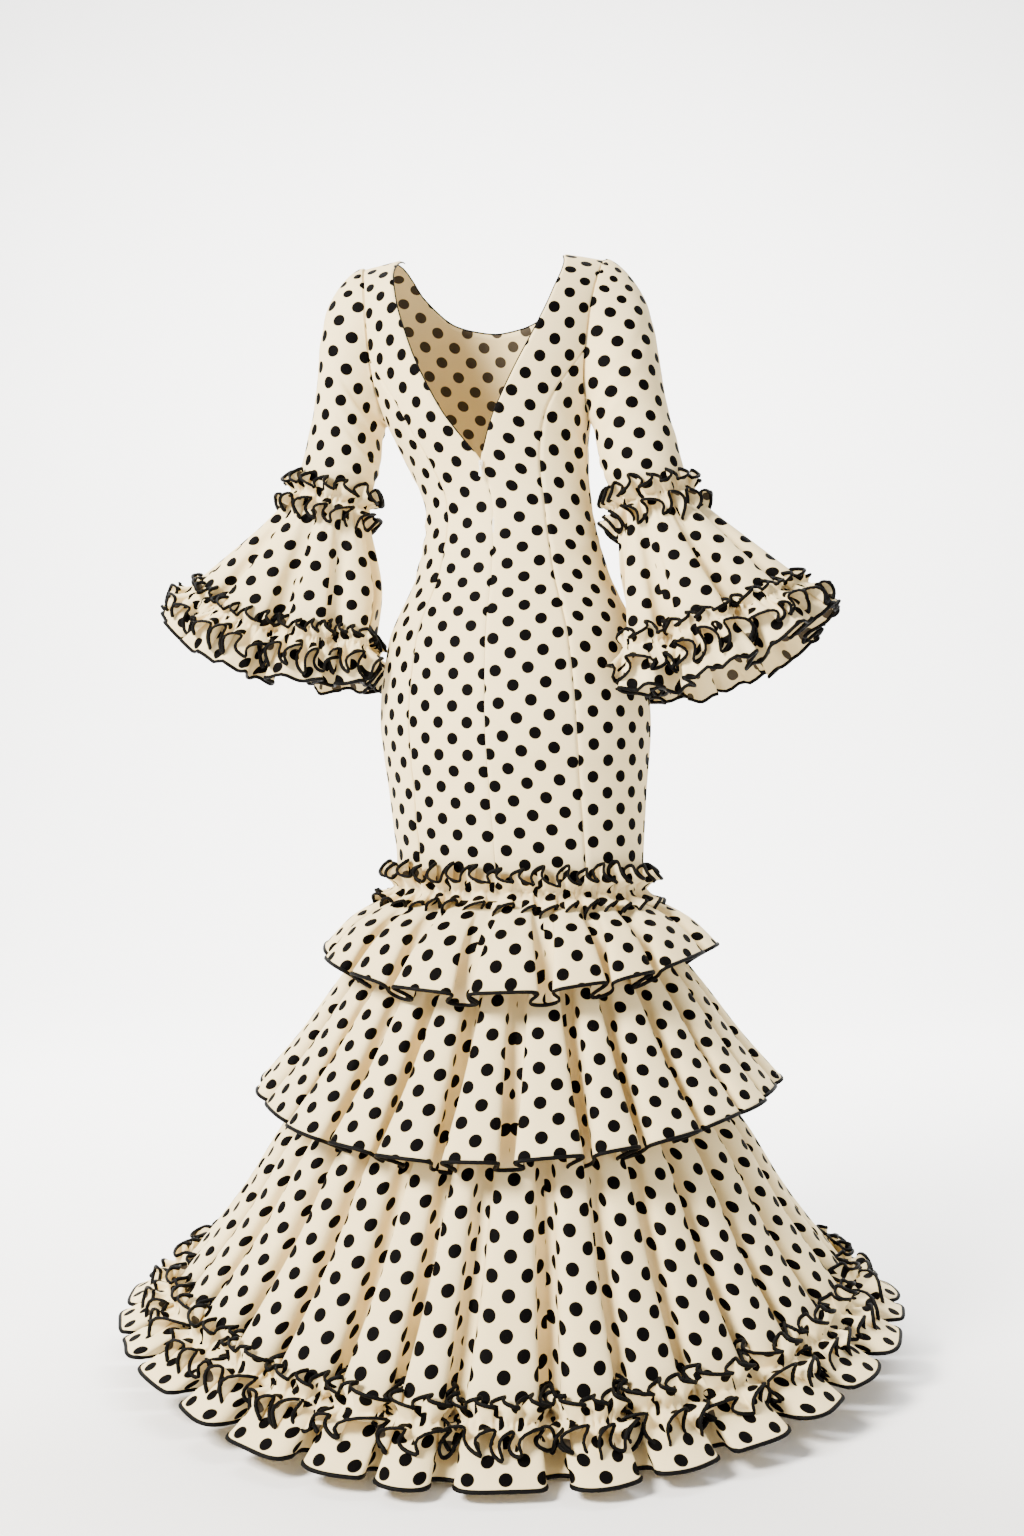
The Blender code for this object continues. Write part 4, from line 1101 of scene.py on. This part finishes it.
def dots(tree, place, wide):
    """1 inside a dot of a staggered lattice, 0 outside: distance to the nearer of two square lattices."""
    vectors = "ShaderNodeVectorMath"
    per_metre = (1 / DOT_CELL, 1 / DOT_CELL, 0)
    nearest = None
    for shift in (0.0, 0.5):
        inputs = {0: place, 1: per_metre, 2: (shift, shift, 0)}
        cell = node(tree, vectors, inputs, operation="MULTIPLY_ADD").outputs[0]
        part = node(tree, vectors, {0: cell}, operation="FRACTION").outputs[0]
        off = node(tree, vectors, {0: part, 1: (0.5, 0.5, 0)}, operation="SUBTRACT").outputs[0]
        far = node(tree, vectors, {0: off}, operation="LENGTH").outputs["Value"]
        if nearest is None:
            nearest = far
        else:
            nearest = node(tree, "ShaderNodeMath", {0: nearest, 1: far}, operation="MINIMUM").outputs[0]
    edge = wide / 2 / DOT_CELL
    inputs = {0: nearest, 1: edge - 0.010, 2: edge + 0.010, 3: 1.0, 4: 0.0}
    return node(tree, "ShaderNodeMapRange", inputs, interpolation_type="SMOOTHSTEP").outputs[0]


def crepe(name, printed):
    """Polyester crepe, woven from hard twisted yarn and screen printed: matt, finely pebbled, with a
    faint bloom at grazing angles. The ink is near black and a little smoother than the bare cloth.
    It stays on the face: the reverse is bare, and the dots only show through it as a dull grey."""
    made, tree, shader = bare_material(name)
    vectors, shares = "ShaderNodeVectorMath", "ShaderNodeMapRange"
    place = node(tree, "ShaderNodeUVMap", uv_map="cloth").outputs["UV"]
    inputs = {"Vector": place, "Scale": 160.0, "Detail": 2.0}
    wander = node(tree, "ShaderNodeTexNoise", inputs).outputs["Color"]
    shift = node(tree, vectors, {0: wander, 1: (0.5, 0.5, 0.5)}, operation="SUBTRACT").outputs[0]
    inputs = {0: shift, 1: (INK_WANDER, INK_WANDER, 0), 2: place}
    moved = node(tree, vectors, inputs, operation="MULTIPLY_ADD").outputs[0]
    ink = dots(tree, moved, DOT_DIAMETER)
    solid = node(tree, "ShaderNodeTexCoord").outputs["Object"]
    inputs = {"Vector": solid, "Scale": 9.0, "Detail": 3.0}
    patch = node(tree, "ShaderNodeTexNoise", inputs).outputs["Fac"]
    inputs = {"Factor": patch, "A": colour("#EFDBAA"), "B": colour("#E8D19B")}
    bare = node(tree, "ShaderNodeMix", inputs, data_type="RGBA").outputs["Result"]
    inputs = {"Vector": place, "Scale": 900.0, "Detail": 3.0, "Roughness": 0.7}
    grain = node(tree, "ShaderNodeTexNoise", inputs).outputs["Fac"]
    speck = node(tree, shares, {0: grain, 1: 0.3, 2: 0.7, 3: 0.93, 4: 1.03}).outputs[0]
    weave = node(tree, vectors, {0: bare, "Scale": speck}, operation="SCALE").outputs[0]
    inks = ("#020202", "#070505") if printed else ("#3A342B", "#453D32")
    inputs = {"Factor": grain, "A": colour(inks[0]), "B": colour(inks[1])}
    black = node(tree, "ShaderNodeMix", inputs, data_type="RGBA").outputs["Result"]
    inputs = {"Factor": ink, "A": weave, "B": black}
    face = node(tree, "ShaderNodeMix", inputs, data_type="RGBA").outputs["Result"]
    rough = node(tree, shares, {0: ink, 1: 0.0, 2: 1.0, 3: 0.80, 4: 0.66}).outputs[0]
    bloom = node(tree, shares, {0: ink, 1: 0.0, 2: 1.0, 3: 0.04, 4: 0.0}).outputs[0]
    # crepe's pebbles are about 0.5 mm; they are drawn 1.1 mm wide so that they show
    bump = node(tree, "ShaderNodeBump", {"Height": grain, "Strength": 0.22, "Distance": 0.0006})
    sources = {
        "Base Color": face,
        "Roughness": rough,
        "Normal": bump.outputs[0],
        "Sheen Weight": bloom,
        "Sheen Tint": colour("#FFF6E4"),
        "IOR": 1.30,
        "Specular IOR Level": 0.06,
    }
    wired(tree, shader, sources)
    return made


def black_binding():
    """Black polyester bias tape, folded and pressed: matt with a soft light along its rolled edge."""
    made, tree, shader = bare_material("black_bias_tape")
    place = node(tree, "ShaderNodeUVMap", uv_map="cloth").outputs["UV"]
    # threads of the tape lie 0.4 mm apart; drawn 0.9 mm apart so that they show
    inputs = {"Vector": place, "Scale": 1100.0, "Detail": 2.0}
    rib = node(tree, "ShaderNodeTexNoise", inputs).outputs["Fac"]
    inputs = {"Factor": rib, "A": colour("#020202"), "B": colour("#080707")}
    tone = node(tree, "ShaderNodeMix", inputs, data_type="RGBA").outputs["Result"]
    bump = node(tree, "ShaderNodeBump", {"Height": rib, "Strength": 0.25, "Distance": 0.0003})
    sources = {
        "Base Color": tone,
        "Normal": bump.outputs[0],
        "Roughness": 0.62,
        "IOR": 1.38,
        "Specular IOR Level": 0.1,
    }
    wired(tree, shader, sources)
    return made


def zip_cloth():
    """Woven polyester zip tape, dyed to the cloth: fine ribs along its length, matt."""
    made, tree, shader = bare_material("cream_zip_tape")
    solid = node(tree, "ShaderNodeTexCoord").outputs["Object"]
    # ribs 0.6 mm apart, close to the real ones
    inputs = {"Vector": solid, "Scale": 260.0, "Distortion": 0.6, "Detail": 1.0}
    rib = node(tree, "ShaderNodeTexWave", inputs, bands_direction="X").outputs["Fac"]
    inputs = {"Factor": rib, "A": colour("#DDD0B6"), "B": colour("#EFE5CE")}
    tone = node(tree, "ShaderNodeMix", inputs, data_type="RGBA").outputs["Result"]
    bump = node(tree, "ShaderNodeBump", {"Height": rib, "Strength": 0.3, "Distance": 0.0003})
    wired(tree, shader, {"Base Color": tone, "Normal": bump.outputs[0], "Roughness": 0.82})
    return made


def zip_enamel():
    """Cream enamel sprayed on a cast zinc slider: smooth and half glossy, thinner on its corners."""
    made, tree, shader = bare_material("cream_enamel_zip")
    solid = node(tree, "ShaderNodeTexCoord").outputs["Object"]
    inputs = {"Vector": solid, "Scale": 700.0, "Detail": 2.0}
    cloud = node(tree, "ShaderNodeTexNoise", inputs).outputs["Fac"]
    inputs = {"Factor": cloud, "A": colour("#E6DCC6"), "B": colour("#F6F0E2")}
    tone = node(tree, "ShaderNodeMix", inputs, data_type="RGBA").outputs["Result"]
    inputs = {0: cloud, 1: 0.3, 2: 0.7, 3: 0.28, 4: 0.40}
    rough = node(tree, "ShaderNodeMapRange", inputs).outputs[0]
    sources = {"Base Color": tone, "Roughness": rough, "IOR": 1.5, "Coat Weight": 0.3}
    wired(tree, shader, sources)
    return made


def studio_paper():
    """White background paper: matt, nearly even."""
    made, tree, shader = bare_material("studio_paper")
    solid = node(tree, "ShaderNodeTexCoord").outputs["Object"]
    inputs = {"Vector": solid, "Scale": 3.0, "Detail": 3.0}
    cloud = node(tree, "ShaderNodeTexNoise", inputs).outputs["Fac"]
    inputs = {"Factor": cloud, "A": colour("#F7F6F4"), "B": colour("#FAF9F8")}
    tone = node(tree, "ShaderNodeMix", inputs, data_type="RGBA").outputs["Result"]
    wired(tree, shader, {"Base Color": tone, "Roughness": 0.9})
    return made


CREPE = crepe("dotted_crepe_face", True)
CREPE_REVERSE = crepe("dotted_crepe_reverse", False)
BLACK_TAPE = black_binding()

# ---------------------------------------------------------------- the pieces

def skirt_pieces():
    """Three tiers, the flounce under them, and the frills at the knee and the hem."""
    tier_piece("upper", 36, 26)
    tier_piece("middle", 34, 40)
    tier_piece("lower", 32, 46)
    hem_flounce_piece(64, 22)
    knee = plain_ring(knee_host, 0.0, np.array([0, 0, KNEE_LINE - SHOULDER]))
    seed = CLOTH_SEEDS["knee"]
    frill_piece("knee_frill", knee, 31, 26, 21, "knee", seed)
    seed = CLOTH_SEEDS["hem_frill"]
    frill_piece("hem_frill", hem_ring(), 150, 18, 17, "hem_frill", seed)


def arm_pieces():
    """Sleeves, and on each a bell, an elbow frill and a cuff frill."""
    sleeve_pieces()
    for name, side in SIDES:
        seeds = {part: seed + side for part, seed in ARM_SEEDS.items()}
        bell_piece(name, side, 44, 40, seeds["bell"])
        surface = partial(sleeve, side=side)
        middle = surface(FULL_TURN * np.arange(8) / 8, ELBOW_LINE).mean(axis=0)
        ring = plain_ring(surface, ELBOW_LINE, middle)
        frill_piece("elbow_frill_" + name, ring, 15, 26, 17, "elbow", seeds["elbow"])
        ring = cuff_ring(side, seeds["bell"])
        frill_piece("cuff_frill_" + name, ring, 46, 20, 17, "cuff", seeds["cuff"])


def finish_zip():
    """The zip's own pieces keep their solids and get their real finishes."""
    finishes = {"zip_tape": zip_cloth(), "zip_slider": zip_enamel(), "zip_tab": zip_enamel()}
    for name, finish in finishes.items():
        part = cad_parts[name]
        part.data.materials.clear()
        part.data.materials.append(finish)


body_pieces()
arm_pieces()
skirt_pieces()
finish_zip()


# ---------------------------------------------------------------- floor, light and camera

CAMERA = {
    "azimuth": math.radians(196),
    "distance": 2.335,
    "height": 0.757 - SHOULDER,
    "axis_x": -0.039,
    "lens": 40.99,
    "film": 36.0,
}


def studio():
    """Directions ahead of and to the right of the camera, and the place of its eye."""
    turn = CAMERA["azimuth"]
    ahead = np.array([-math.sin(turn), math.cos(turn), 0.0])
    right = np.array([ahead[1], -ahead[0], 0.0])
    eye = np.array([CAMERA["axis_x"], 0, 0]) - ahead * CAMERA["distance"]
    eye[2] = CAMERA["height"]
    return ahead, right, eye


def paper_sweep():
    """Floor and wall in one sheet: flat under the dress, then a quarter round of 2 m, then upright."""
    ahead, right, _ = studio()
    across = np.linspace(-9, 9, 3)[None, :]
    flat, radius = 8.0, 2.0
    path = np.linspace(0, 1, 90)[:, None] * 16.0
    bend = np.clip((path - flat) / radius, 0, math.pi / 2)
    forward = np.minimum(path, flat) + radius * np.sin(bend) - 5.0
    height = radius * (1 - np.cos(bend)) + np.maximum(path - flat - radius * math.pi / 2, 0)
    points = across[..., None] * right + forward[..., None] * ahead
    points[..., 2] = height - SHOULDER - 0.0005
    uv = np.stack(np.broadcast_arrays(across, path), axis=-1)
    facing = np.array([0, 0, 1.0]) - 0.3 * ahead + 0 * points
    mesh = grid_mesh("studio_floor", points, (uv[:, :-1], uv[:, 1:]), False, facing)
    floor = bpy.data.objects.new("studio_floor", mesh)
    mesh.materials.append(studio_paper())
    bpy.context.scene.collection.objects.link(floor)


def soft_light(name, place, target, size, power, tint):
    """Rectangular lamp of this size and power that faces its target."""
    lamp = bpy.data.lights.new(name, "AREA")
    lamp.shape = "RECTANGLE"
    lamp.size, lamp.size_y = size
    lamp.energy = power
    lamp.color = colour(tint)[:3]
    made = bpy.data.objects.new(name, lamp)
    look = Vector(target) - Vector(place)
    made.location = place
    made.rotation_euler = look.to_track_quat("-Z", "Y").to_euler()
    bpy.context.scene.collection.objects.link(made)


def place_camera():
    """Level camera behind the dress, at the height of its middle."""
    ahead, _, eye = studio()
    lens = bpy.data.cameras.new("camera")
    lens.sensor_fit = "VERTICAL"
    lens.sensor_height = CAMERA["film"]
    lens.lens = CAMERA["lens"]
    made = bpy.data.objects.new("camera", lens)
    made.location = eye
    made.rotation_euler = Vector(ahead).to_track_quat("-Z", "Y").to_euler()
    bpy.context.scene.collection.objects.link(made)
    bpy.context.scene.camera = made


def light_studio():
    """Large key from the camera's upper left, weak fill from its right, a lamp on the backdrop."""
    ahead, right, _ = studio()
    middle = np.array([CAMERA["axis_x"], 0, -0.65])
    key = middle - ahead * 2.2 - right * 2.3 + [0, 0, 2.0]
    soft_light("key", key, middle, (1.2, 1.2), 560, "#FFFAF2")
    fill = middle - ahead * 2.4 + right * 2.4 + [0, 0, 0.5]
    soft_light("fill", fill, middle, (2.4, 2.4), 38, "#FFFDFA")
    sweep = middle + ahead * 4.2 + [0, 0, -0.6]
    soft_light("backdrop", middle + ahead * 1.6 + [0, 0, 2.6], sweep, (5.0, 1.4), 900, "#FFFFFF")
    world = bpy.data.worlds.new("studio")
    bpy.context.scene.world = world
    world.use_nodes = True
    sky = world.node_tree.nodes["Background"]
    sky.inputs["Color"].default_value = colour("#FFFFFF")
    sky.inputs["Strength"].default_value = 0.58


paper_sweep()
light_studio()
place_camera()
